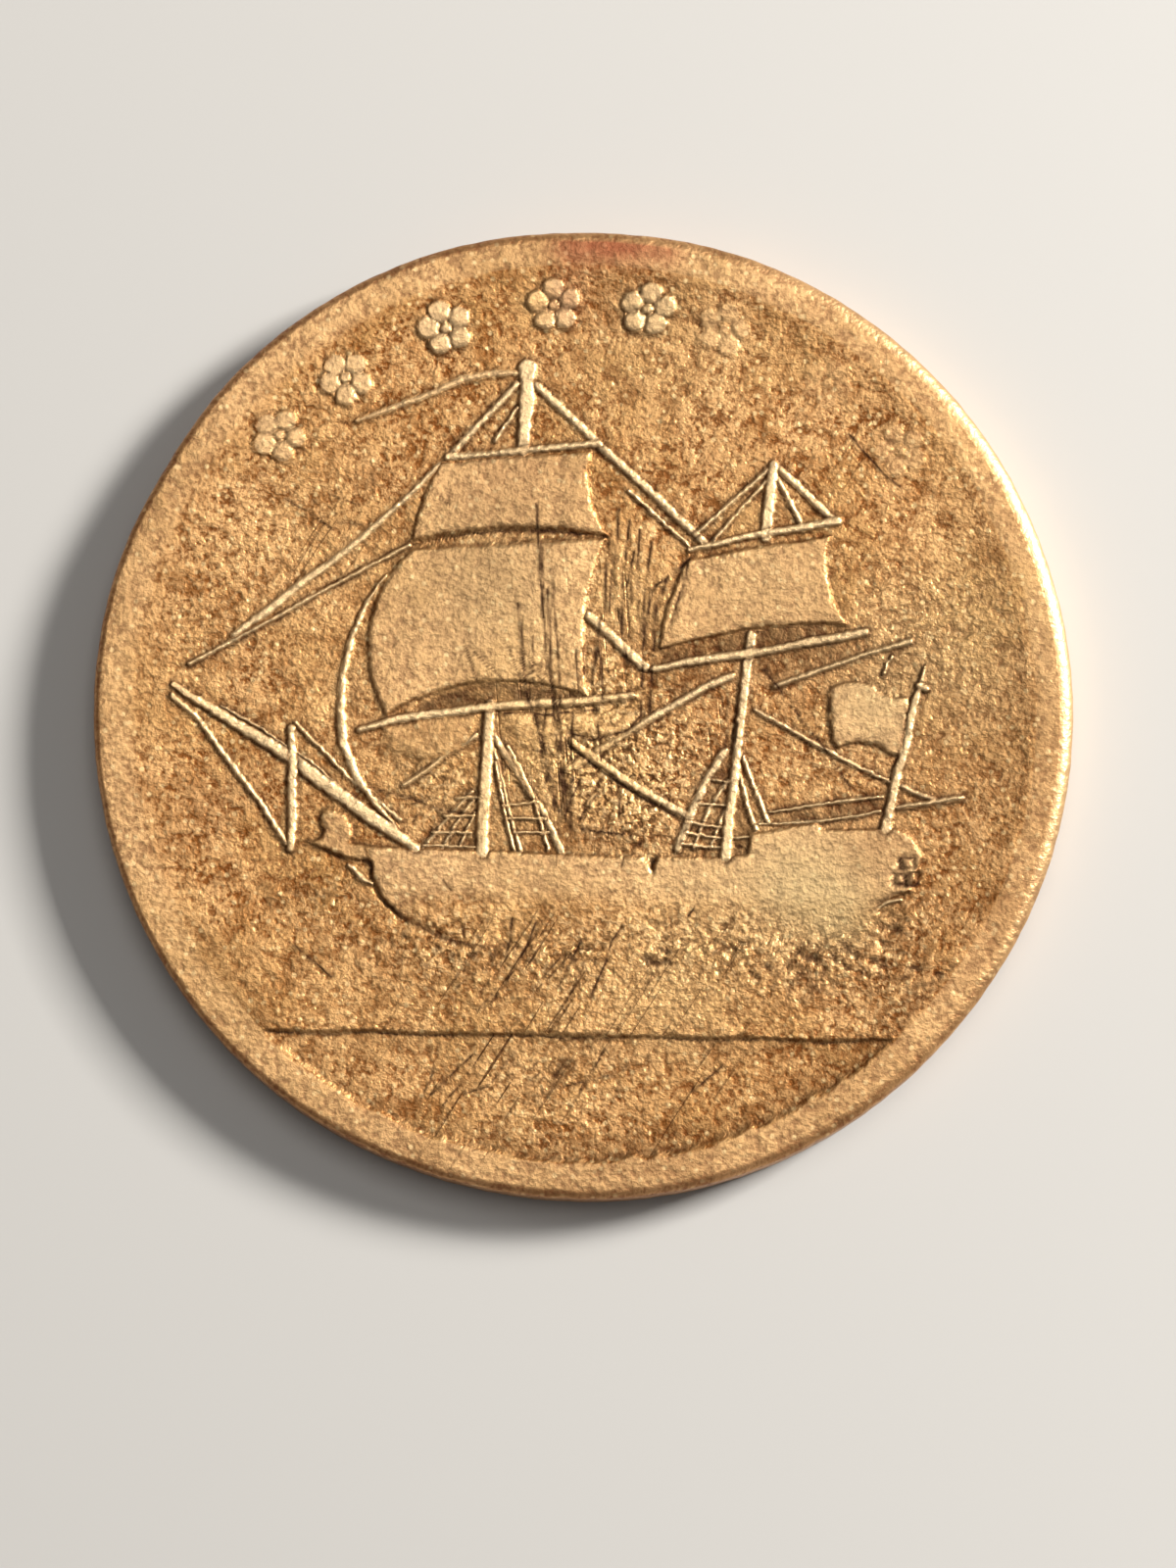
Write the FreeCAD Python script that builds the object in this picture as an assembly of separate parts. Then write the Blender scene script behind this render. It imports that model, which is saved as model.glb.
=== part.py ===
"""A struck copper trade token: one round blank with a ship under sail raised on its face.

The token lies on its reverse.  The origin is the centre of the underside, +Z comes out of the
ship side, +Y points to twelve o'clock of the ship, and +X to three o'clock.  Sizes are in
millimetres.  The devices are drawn for a field of drawn_field_radius and are scaled with the
real field, so they always fit inside the rim.
"""
import FreeCAD, Part
import math
import os
from FreeCAD import Vector

# The blank
token_diameter = 28.5
token_thickness = 1.75       # over both rims
edge_bevel = 0.18            # worn corner between the rim and the edge

# The two raised rims
rim_width = 1.2
rim_slope = 0.12             # width of the slope from the rim down to the field
rim_height_front = 0.16
rim_height_back = 0.16

# How far the top of each raised device lies below the top of the rim on its side
hull_drop = 0.02
spar_drop = 0.04
ornament_drop = 0.05
sail_drop = 0.06
rigging_drop = 0.08
sea_drop = 0.11
wreath_drop = 0.05
anchor_drop = 0.04
relief_root = 0.10           # how far each raised shape runs down into the blank
same_point = 1e-6            # two corners this close are one

# The drawing of the devices
drawn_field_radius = 13.0
exergue_drop = 9.3           # from the centre down to the line under the sea
horizon_angle = 28.5         # degrees below three and nine o'clock where the sea's top meets the rim
ornament_reach = 0.82        # from an ornament's centre to a petal's tip
petal_notch = 0.55           # where two petals meet, as a share of that reach
ornament_gap = 0.18          # between an ornament and the rim
ornament_petals = 5
ornament_angles = (138.3, 126.0, 110.4, 94.9, 81.8, 70.9, 54.6, 40.7)
wreath_radius = 9.6
wreath_foot = 6.0            # degrees up each side from six o'clock
wreath_start = 14.0          # first pair of leaves
wreath_end = 168.0
wreath_leaf_pairs = 12
leaf_length = 2.5
leaf_width = 0.85
leaf_lean = 26.0             # degrees between a leaf and the stem
stem_width = 0.26

radius = token_diameter / 2
field_radius = radius - rim_width
front_field = token_thickness - rim_height_front
back_field = rim_height_back
drawing_scale = field_radius / drawn_field_radius
legend_radius = drawn_field_radius - ornament_gap - ornament_reach


def at(x, y, z=0.0):
    """A point of the drawing, brought to the real size of the field."""
    return Vector(x * drawing_scale, y * drawing_scale, z)


def outline(start, *steps):
    """A flat face whose border goes from start through the steps and back to start.

    A step of one point is a straight edge to it.  A step of two points is an arc through the
    first to the second.
    """
    edges = []
    here = start
    for step in steps:
        if isinstance(step[0], tuple):
            middle, there = step
            edges.append(Part.Arc(at(*here), at(*middle), at(*there)).toShape())
        else:
            there = step
            edges.append(Part.LineSegment(at(*here), at(*there)).toShape())
        here = there
    if math.dist(here, start) > same_point:
        edges.append(Part.LineSegment(at(*here), at(*start)).toShape())
    return Part.Face(Part.Wire(edges))


def bar(points, width):
    """A flat bar of even width along the points, square at both ends and mitred between."""
    turns = []
    for before, after in zip(points[:-1], points[1:]):
        turns.append(math.atan2(after[1] - before[1], after[0] - before[0]))
    left, right = [], []
    for index, (x, y) in enumerate(points):
        first = turns[max(index - 1, 0)]
        second = turns[min(index, len(turns) - 1)]
        heading = (first + second) / 2
        reach = width / 2 / math.cos((second - first) / 2)
        across = (-math.sin(heading) * reach, math.cos(heading) * reach)
        left.append((x + across[0], y + across[1]))
        right.append((x - across[0], y - across[1]))
    border = left + right[::-1]
    return outline(border[0], *border[1:])


def on_ring(ring_radius, degrees):
    """The point of the drawing at this radius and angle from three o'clock."""
    angle = math.radians(degrees)
    return ring_radius * math.cos(angle), ring_radius * math.sin(angle)


def raised(faces, root, top):
    """Each face grown into a solid, from its root inside the blank to its top."""
    return [face.translated(Vector(0, 0, root)).extrude(Vector(0, 0, top - root))
            for face in faces]


def blank():
    """The round blank with its two rims, turned from half of its section."""
    section = [
        (0, back_field),
        (field_radius - rim_slope, back_field),
        (field_radius, 0),
        (radius - edge_bevel, 0),
        (radius, edge_bevel),
        (radius, token_thickness - edge_bevel),
        (radius - edge_bevel, token_thickness),
        (field_radius, token_thickness),
        (field_radius - rim_slope, front_field),
        (0, front_field),
    ]
    corners = [Vector(r, 0, z) for r, z in section]
    profile = Part.Face(Part.makePolygon(corners + corners[:1]))
    return profile.revolve(Vector(0, 0, 0), Vector(0, 0, 1), 360)


def sea():
    """The slab of sea between the hull and the straight line of the exergue."""
    reach = drawn_field_radius
    exergue_angle = math.degrees(math.asin(exergue_drop / reach))
    middle_angle = (exergue_angle + horizon_angle) / 2
    angles = (exergue_angle, middle_angle, horizon_angle)
    right_low, right_middle, right_high = (on_ring(reach, -angle) for angle in angles)
    left_low, left_middle, left_high = (on_ring(reach, 180 + angle) for angle in angles)
    return outline(
        left_low, right_low, (right_middle, right_high),
        ((6.5, -5.4), (0.0, -5.9)), ((-6.5, -5.7), left_high), (left_middle, left_low),
    )


def hull():
    """The ship's side: beak and bow on the left, raised stern on the right."""
    return [outline(
        (-6.3, -3.95), (1.95, -4.0), (2.15, -4.45), (2.35, -4.0), (4.35, -4.0), (4.9, -3.95),
        (5.0, -3.3), (6.9, -3.0), (7.15, -3.2), (8.9, -3.15),
        ((9.75, -3.4), (10.05, -3.9)), (9.75, -5.0), ((9.2, -5.4), (8.6, -6.1)),
        ((2.0, -6.5), (-4.3, -6.5)), ((-5.6, -5.6), (-6.1, -4.6)),
    ), outline(
        (-6.1, -4.0), (-6.8, -3.8), ((-6.75, -3.1), (-7.2, -2.9)), ((-7.5, -3.1), (-7.45, -3.5)),
        ((-7.6, -3.75), (-7.95, -3.8)), ((-7.4, -4.15), (-6.1, -4.6)),
    )]


def sails():
    """The set sails, the furled course on the fore yard, the jib's edge and the plain flag."""
    fore_topgallant = outline(
        (-4.2, 7.45), (0.15, 7.9), ((0.2, 6.6), (0.65, 5.45)),
        ((-2.0, 5.6), (-5.0, 5.15)), ((-4.75, 6.3), (-4.2, 7.45)),
    )
    fore_topsail = outline(
        (-5.05, 4.85), (0.6, 5.25), ((0.0, 3.0), (0.3, 0.65)),
        ((-2.7, 1.0), (-5.8, -0.05)), ((-6.25, 2.3), (-5.05, 4.85)),
    )
    main_topsail = outline(
        (2.95, 4.75), (7.1, 5.55), ((7.15, 4.0), (7.65, 2.85)),
        ((4.8, 2.7), (2.2, 2.0)), ((2.45, 3.5), (2.95, 4.75)),
    )
    course_left = outline((-5.9, -0.45), (-3.1, 0.1), ((-4.4, -1.35), (-5.9, -0.45)))
    course_right = outline((-2.5, 0.15), (1.3, 0.45), ((0.0, -0.95), (-2.5, 0.15)))
    flag = outline(
        (7.2, 0.9), ((7.9, 1.2), (8.6, 0.9)), ((9.0, 0.7), (9.55, 0.65)), (9.3, -0.9),
        ((8.3, -0.6), (7.35, -0.7)), (7.2, 0.9),
    )
    jib_edge = bar([(-5.9, 3.9), (-6.6, 2.6), (-7.0, 0.9), (-7.0, -0.4), (-6.4, -2.0),
                    (-5.3, -3.4)], 0.22)
    return [fore_topgallant, fore_topsail, main_topsail, course_left, course_right, flag,
            jib_edge]


def spars():
    """Masts, yards, gaff, bowsprit, dolphin striker and ensign staff."""
    return [
        bar([(-1.7, 10.4), (-1.8, 7.8)], 0.40),
        bar([(-2.75, 0.3), (-2.9, -4.1)], 0.35),
        bar([(5.4, 7.6), (5.2, 5.1)], 0.35),
        bar([(4.85, 2.6), (4.6, 0.0), (4.25, -4.1)], 0.30),
        bar([(-4.0, 7.65), (0.35, 8.15)], 0.20),
        bar([(-6.5, -0.5), (-4.0, 0.05), (-1.0, 0.4), (1.4, 0.65)], 0.25),
        bar([(3.0, 5.0), (7.3, 6.0)], 0.20),
        bar([(2.0, 1.45), (4.3, 1.9), (8.2, 2.7)], 0.26),
        bar([(5.6, 1.0), (9.5, 2.4)], 0.18),
        bar([(-11.9, 0.7), (-8.55, -1.45), (-5.2, -3.75), (-4.8, -4.1)], 0.34),
        bar([(-8.45, -0.5), (-8.45, -4.05)], 0.26),
        bar([(9.95, 1.65), (9.5, -0.6), (8.95, -3.3)], 0.26),
        bar([(9.1, -2.55), (11.0, -2.2)], 0.16),
    ]


def rigging():
    """The stays, lifts and shrouds, each a thin raised line."""
    return [
        bar([(-1.9, 10.3), (-3.5, 10.0), (-5.5, 9.1), (-6.6, 8.7)], 0.26),
        bar([(-2.0, 9.9), (-3.9, 7.7)], 0.20),
        bar([(-1.4, 9.8), (0.25, 8.15), (3.55, 5.15)], 0.24),
        bar([(-10.3, 2.4), (-4.2, 7.5)], 0.20),
        bar([(-10.8, 1.7), (-5.0, 5.1)], 0.20),
        bar([(5.3, 7.5), (3.1, 5.15)], 0.18),
        bar([(5.35, 7.4), (6.2, 5.85)], 0.16),
        bar([(5.45, 7.6), (7.15, 6.0)], 0.22),
        bar([(-11.9, 0.4), (-10.5, -1.1), (-8.55, -3.95)], 0.18),
        bar([(-11.3, 0.65), (-8.6, -0.75), (-5.2, -3.6)], 0.16),
        bar([(0.1, 3.0), (1.75, 1.5)], 0.30),
        bar([(4.3, 1.3), (2.5, 0.35), (-0.4, -0.75)], 0.18),
        bar([(-0.4, -0.7), (3.2, -2.9)], 0.22),
        bar([(-2.75, -0.4), (-1.2, -2.9), (-0.6, -4.1)], 0.24),
        bar([(-2.85, -1.0), (-1.75, -4.1)], 0.16),
        bar([(-2.8, -0.6), (-5.1, -2.1)], 0.18),
        bar([(-2.9, -1.9), (-4.7, -4.1)], 0.16),
        bar([(4.5, -0.3), (3.2, -2.8), (2.8, -4.1)], 0.24),
        bar([(4.4, -1.4), (3.4, -4.1)], 0.14),
        bar([(4.6, -0.9), (5.45, -3.3)], 0.14),
        bar([(7.0, -0.9), (9.3, -1.85), (10.5, -2.3)], 0.15),
        bar([(4.7, -3.3), (8.95, -2.55)], 0.16),
    ]


def ornament(degrees):
    """A five-petalled rosette that stands on the legend ring and points outwards.

    Each petal's rim is an arc from notch to notch through its tip.
    """
    petal_turn = 360.0 / ornament_petals
    notch = ornament_reach * petal_notch
    centre = on_ring(legend_radius, degrees)

    def around(reach, turn):
        dx, dy = on_ring(reach, degrees + turn)
        return centre[0] + dx, centre[1] + dy

    steps = []
    for petal in range(ornament_petals):
        turn = petal * petal_turn
        steps.append((around(ornament_reach, turn), around(notch, turn + petal_turn / 2)))
    return outline(around(notch, -petal_turn / 2), *steps)


def leaf(foot, heading):
    """A pointed leaf: two arcs from its foot to its tip."""
    ahead = (math.cos(heading), math.sin(heading))
    aside = (-ahead[1], ahead[0])

    def place(along, across):
        return (foot[0] + ahead[0] * along + aside[0] * across,
                foot[1] + ahead[1] * along + aside[1] * across)

    tip = place(leaf_length, 0)
    return outline(foot, (place(leaf_length / 2, leaf_width / 2), tip),
                   (place(leaf_length / 2, -leaf_width / 2), foot))


def stem(start, end):
    """A laurel stem: a narrow band along the wreath's circle, from one angle to the other."""
    inside, outside = wreath_radius - stem_width / 2, wreath_radius + stem_width / 2
    middle = (start + end) / 2
    return outline(
        on_ring(inside, start), (on_ring(inside, middle), on_ring(inside, end)),
        on_ring(outside, end), (on_ring(outside, middle), on_ring(outside, start)),
    )


def wreath():
    """Two laurel branches that rise from a tie at six o'clock, with leaves in pairs."""
    faces = [bar([(-1.7, -10.3), (0.0, -9.45), (1.7, -10.3)], 0.5)]
    step = (wreath_end - wreath_start) / wreath_leaf_pairs
    for side in (-1, 1):
        faces.append(stem(-90 + side * wreath_foot, -90 + side * wreath_end))
        for pair in range(wreath_leaf_pairs):
            degrees = -90 + side * (wreath_start + pair * step)
            foot = on_ring(wreath_radius, degrees)
            for lean in (-leaf_lean, leaf_lean):
                faces.append(leaf(foot, math.radians(degrees + side * 90 + lean)))
    return faces


def anchor():
    """An anchor: ring, stock, shank, curved arms and two flukes."""
    ring_centre = at(0.0, 5.0)
    disc, eye = (Part.Face(Part.Wire(Part.makeCircle(reach * drawing_scale, ring_centre)))
                 for reach in (0.75, 0.42))
    arms = outline((-4.0, -1.6), ((0.0, -5.6), (4.0, -1.6)),
                   (3.6, -1.6), ((0.0, -4.6), (-3.6, -1.6)))
    flukes = [outline((side * 4.55, -2.1), (side * 3.75, -0.7), (side * 3.0, -2.3))
              for side in (-1, 1)]
    return [disc.cut(eye).Faces[0], arms, *flukes,
            bar([(0.0, 4.5), (0.0, -5.1)], 0.62),
            bar([(-2.4, 3.3), (2.4, 3.3)], 0.55)]


def struck_token():
    """The blank with the ship side and the wreath side struck into it."""
    ship_side = [
        ([sea()], sea_drop), (rigging(), rigging_drop), (sails(), sail_drop),
        (spars(), spar_drop), (hull(), hull_drop),
        ([ornament(degrees) for degrees in ornament_angles], ornament_drop),
    ]
    wreath_side = [(wreath(), wreath_drop), (anchor(), anchor_drop)]
    raised_shapes = []
    for faces, drop in ship_side:
        raised_shapes += raised(faces, front_field - relief_root, token_thickness - drop)
    for faces, drop in wreath_side:
        raised_shapes += raised(faces, back_field + relief_root, drop)
    return blank().multiFuse(raised_shapes).removeSplitter()


os.makedirs("parts", exist_ok=True)
token = struck_token()
token.Solids[0].exportStep("parts/struck_token.step")
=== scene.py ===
import functools
import math

import bpy
import numpy as np
from mathutils import Matrix, Vector


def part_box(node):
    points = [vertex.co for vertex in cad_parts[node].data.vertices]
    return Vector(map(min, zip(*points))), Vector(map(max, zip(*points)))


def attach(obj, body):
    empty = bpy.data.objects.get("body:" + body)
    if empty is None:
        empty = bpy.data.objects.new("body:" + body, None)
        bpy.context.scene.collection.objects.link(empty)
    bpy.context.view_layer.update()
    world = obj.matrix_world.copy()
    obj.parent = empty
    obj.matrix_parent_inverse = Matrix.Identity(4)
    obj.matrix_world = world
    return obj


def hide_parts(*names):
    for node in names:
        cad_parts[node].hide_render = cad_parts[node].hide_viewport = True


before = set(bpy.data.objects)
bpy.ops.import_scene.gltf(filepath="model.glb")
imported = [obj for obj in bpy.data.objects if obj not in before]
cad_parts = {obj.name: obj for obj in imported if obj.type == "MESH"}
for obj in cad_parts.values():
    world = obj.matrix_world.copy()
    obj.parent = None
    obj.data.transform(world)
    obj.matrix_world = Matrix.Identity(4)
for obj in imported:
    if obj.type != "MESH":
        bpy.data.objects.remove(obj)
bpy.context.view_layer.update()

# A worn copper token, struck on both sides.  It is one piece of metal.  Its mesh is cut half-way
# down the edge into a ship half and a wreath half, so that each side can carry fine relief.
# Places and heights are worked out in millimetres and turned to metres when a mesh is made.

MM = 0.001
low_corner, high_corner = (Vector(corner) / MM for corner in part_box("struck_token"))

RADIUS = (high_corner.x - low_corner.x) / 2
THICKNESS = high_corner.z - low_corner.z
MIDDLE = THICKNESS / 2
RIM_WIDTH = 1.2
RIM_HEIGHT = 0.16            # of the rims above their fields
DRAWN_FIELD = 13.0           # field radius for which the devices are drawn
DRAWING_SCALE = (RADIUS - RIM_WIDTH) / DRAWN_FIELD
EDGE_ROUND = 0.31            # how far in the worn corner between rim and edge reaches, on average
EDGE_UNEVEN = 0.11           # how much further it reaches at the flank that was rubbed most
EDGE_DEPTH = 0.28            # and how far down
HIGHLIT_AND_WORN_FLANK = 0.3           # direction of that flank, in radians from three o'clock; it faces the key light, and the edge there gets a painted highlight
OUTLINE_WAVE = 0.003         # height of each of the fine waves round the outline
OUTLINE_DRAWN_IN = 0.02      # so that the waves stay within the radius
DRAWN_REACH = DRAWN_FIELD - 0.3   # scratches stay within this radius


# ---------------------------------------------------------------- drawing and distance

def smooth(low, high, value):
    """A share from 0 at low to 1 at high, level at both ends: 3t^2 - 2t^3."""
    share = np.clip((value - low) / (high - low), 0.0, 1.0)
    return share * share * (3 - 2 * share)


def arc_points(first, middle, last, count=10):
    """Points of the circle through three places, from after the first up to the last."""
    (ax, ay), (bx, by), (cx, cy) = first, middle, last
    twice = 2 * (ax * (by - cy) + bx * (cy - ay) + cx * (ay - by))
    a2, b2, c2 = ax * ax + ay * ay, bx * bx + by * by, cx * cx + cy * cy
    ux = (a2 * (by - cy) + b2 * (cy - ay) + c2 * (ay - by)) / twice
    uy = (a2 * (cx - bx) + b2 * (ax - cx) + c2 * (bx - ax)) / twice
    start, via, end = (math.atan2(y - uy, x - ux) for x, y in (first, middle, last))
    turn = (end - start) % math.tau
    if (via - start) % math.tau > turn:
        turn -= math.tau
    angles = start + turn * np.arange(1, count + 1) / count
    reach = math.hypot(ax - ux, ay - uy)
    return np.stack([ux + reach * np.cos(angles), uy + reach * np.sin(angles)], axis=1)


def outline(start, *steps):
    """The corners of a closed border.  A step of two places is an arc through the first."""
    parts = [np.array([start], float)]
    for step in steps:
        if isinstance(step[0], tuple):
            parts.append(arc_points(tuple(parts[-1][-1]), step[0], step[1]))
        else:
            parts.append(np.array([step], float))
    return np.concatenate(parts)


def ring_place(radius, degrees):
    """The place at this radius and angle from three o'clock."""
    angle = math.radians(degrees)
    return radius * math.cos(angle), radius * math.sin(angle)


def border_distance(border, x, y):
    """Distance to a closed border, negative inside: the nearest edge, signed by even-odd crossing."""
    nearest = np.full(x.shape, np.inf)
    inside = np.zeros(x.shape, bool)
    for (ax, ay), (bx, by) in zip(border, np.roll(border, -1, axis=0)):
        ex, ey = bx - ax, by - ay
        length = ex * ex + ey * ey
        if length < 1e-12:
            continue
        share = np.clip(((x - ax) * ex + (y - ay) * ey) / length, 0, 1)
        nearest = np.minimum(nearest, (x - ax - ex * share) ** 2 + (y - ay - ey * share) ** 2)
        if ay != by:
            inside ^= ((ay > y) != (by > y)) & (x < ex * (y - ay) / ey + ax)
    return np.where(inside, -1.0, 1.0) * np.sqrt(nearest)


def stroke_distance(strokes, x, y):
    """Distance to a drawn line, negative inside: the nearest place of its middle, less the half
    width there.  Each corner of the line is (x, y, width)."""
    nearest = np.full(x.shape, np.inf)
    for (ax, ay, aw), (bx, by, bw) in zip(strokes[:-1], strokes[1:]):
        ex, ey = bx - ax, by - ay
        share = np.clip(((x - ax) * ex + (y - ay) * ey) / (ex * ex + ey * ey), 0, 1)
        gap = np.hypot(x - ax - ex * share, y - ay - ey * share)
        nearest = np.minimum(nearest, gap - (aw + share * (bw - aw)) / 2)
    return nearest


def ripple(x, y, wave, seed, waves=9, stretch=1.0):
    """Even unrest between about -1 and 1: a sum of plane waves in drawn directions, each about
    wave long, stretched along x."""
    draw = np.random.default_rng(seed)
    total = np.zeros_like(x)
    for _ in range(waves):
        heading, phase = draw.uniform(0, math.tau, 2)
        rate = math.tau / wave * draw.uniform(0.6, 1.5)
        total += np.sin(rate * (x / stretch * math.cos(heading) + y * math.sin(heading)) + phase)
    return total / math.sqrt(waves) * 0.8


# ---------------------------------------------------------------- relief

class Relief:
    """Heights above the field at the places x, y, with how much dirt and painted shade lie on each
    place, how rubbed it is, with a painted highlight on rubbed tops, how stained (below zero: pale) and
    pitted it is, its hue (above zero red copper, below zero yellow), and how scored it is (above zero
    upright scratches, below zero slanting ones)."""

    def __init__(self, x, y):
        self.x, self.y = x, y
        self.height, self.dirt, self.rub, self.stain, self.pit, self.hue, self.scored = (
            np.zeros_like(x) for _ in range(7))

    def near(self, corners, reach):
        """The places in the box of the corners, widened by reach."""
        low, high = corners[:, :2].min(axis=0) - reach, corners[:, :2].max(axis=0) + reach
        return np.flatnonzero((self.x > low[0]) & (self.x < high[0])
                              & (self.y > low[1]) & (self.y < high[1]))

    def about_border(self, border, reach):
        """The places near a closed border, and their distance to it, negative inside."""
        spots = self.near(border, reach)
        return spots, border_distance(border, self.x[spots], self.y[spots])

    def about_strokes(self, strokes, reach):
        """The places near a drawn line, their distance to it, negative inside, and its widths."""
        strokes = np.array(strokes, float)
        spots = self.near(strokes, reach)
        return spots, stroke_distance(strokes, self.x[spots], self.y[spots]), strokes[:, 2]

    def darken(self, amount, spots=slice(None)):
        """Darkens the spots with dirt and painted shade, as far as they are not darker already."""
        self.dirt[spots] = np.maximum(self.dirt[spots], amount)

    def rise(self, spots, gap, height, wall, dome, dirt, rub):
        """Raises the spots to the height where the gap is negative.  The wall is an S-curve as
        wide as wall, the top is dome lower at its border, and dirt and painted shade lie outside the
        wall."""
        share = smooth(wall / 2, -wall / 2, gap)
        top = height * (1 - dome * np.exp(np.minimum(gap, 0) / 0.22))
        here = self.height[spots]
        raised = share * top
        self.height[spots] = np.where(raised > here, raised, here * (1 - share) + raised * share)
        # dirt and painted shade darken the foot of the wall, just outside it
        outside = np.clip(gap - wall * 0.1, 0, None)
        corner = dirt * np.minimum(1.3 * np.exp(-outside / 0.07), 1.0) * (1 - share)
        self.height[spots] -= 0.012 * corner
        self.dirt[spots] = np.maximum(self.dirt[spots] * (1 - share), corner)
        self.rub[spots] = np.maximum(self.rub[spots] * (1 - share), share * rub)

    def plate(self, border, height, wall=0.13, dome=0.12, dirt=0.75, rub=0.52):
        """A flat raised shape inside a closed border."""
        self.rise(*self.about_border(border, 0.7), height, wall, dome, dirt, rub)

    def line(self, strokes, height, dirt=0.75, rub=1.0):
        """A raised line along the strokes."""
        spots, gap, widths = self.about_strokes(strokes, 0.7)
        self.rise(spots, gap, height, min(0.1, widths.max() * 0.7), 0.16, dirt, rub)

    def cut(self, strokes, depth, dirt=0.9):
        """A groove along the strokes, with dirt at its bottom."""
        spots, gap, widths = self.about_strokes(strokes, 0.4)
        share = smooth(0.035, -widths.mean() / 2, gap)
        self.height[spots] -= depth * share
        self.darken(dirt * share, spots)

    def shade(self, border, dirt, soft=0.07):
        """Painted shade inside a closed border, on the low places only."""
        spots, gap = self.about_border(border, soft)
        self.darken(dirt * smooth(soft, -soft, gap) * (1 - self.rub[spots]), spots)

    def patches(self, values, places):
        """Adds soft round patches to one of the arrays: each place is x, y, reach and amount."""
        for px, py, reach, amount in places:
            values += amount * np.exp(-((self.x - px) ** 2 + (self.y - py) ** 2) / reach ** 2)


def even(width, *points):
    """A line of one width through the points."""
    return [(x, y, width) for x, y in points]


# ---------------------------------------------------------------- the ship side

def draw_sea(relief):
    """The sea between hull and exergue: a low slab that fades upwards and ends in a step at the
    exergue line.  Its chop is a ridged wave, one less the size of a ripple, strongest in a band
    under the hull and by the stern."""
    x, y = relief.x, relief.y
    line = -9.39 + 0.0014 * x + 0.05 * ripple(x, y, 2.5, 14) * smooth(-3, -7, x)
    slab = smooth(line - 0.04, line + 0.06, y) * smooth(-4.9, -7.4, y)
    relief.height += 0.08 * slab
    band = np.exp(-((y + 6.75) / 0.55) ** 2) * smooth(-8.0, -3.0, x)
    wide = np.exp(-((y + 7.3) / 1.3) ** 2)
    rough = slab * (0.1 + 1.0 * band + wide * (0.1 + 0.35 * smooth(0.0, 7.0, x)))
    stern = np.exp(-((x - 9.7) / 1.0) ** 2 - ((y + 5.9) / 0.7) ** 2)
    bow = np.exp(-((x + 8.5) / 2.6) ** 2 - ((y + 5.4 + 0.12 * x + 1.0) / 0.5) ** 2)
    rough = np.maximum(np.maximum(rough, 0.7 * stern), 0.5 * bow)
    slant = y + 0.22 * x
    chop = 1 - 1.9 * np.abs(ripple(x, slant, 0.75, 11, stretch=2.6))
    clump = ripple(x, slant, 0.42, 12, stretch=1.7)
    relief.height += rough * (0.022 * np.clip(chop, -1, 1) + 0.013 * clump)
    hollow = smooth(-0.05, 0.75, -0.6 * chop - 0.8 * clump)
    relief.darken(np.clip(rough * 1.2, 0, 0.8) * hollow)
    # painted shadow: a dark line along the foot of the sea's step at the exergue line
    foot = np.abs(y - (line - 0.06))
    inside = smooth(9.75, 9.45, np.abs(x - 0.25))
    relief.darken(np.exp(-(foot / 0.042) ** 2) * inside)
    # painted shade just below the step, fading over 1.3 mm downwards
    relief.darken(0.26 * smooth(1.3, 0.0, line - y) * (y < line))


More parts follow.
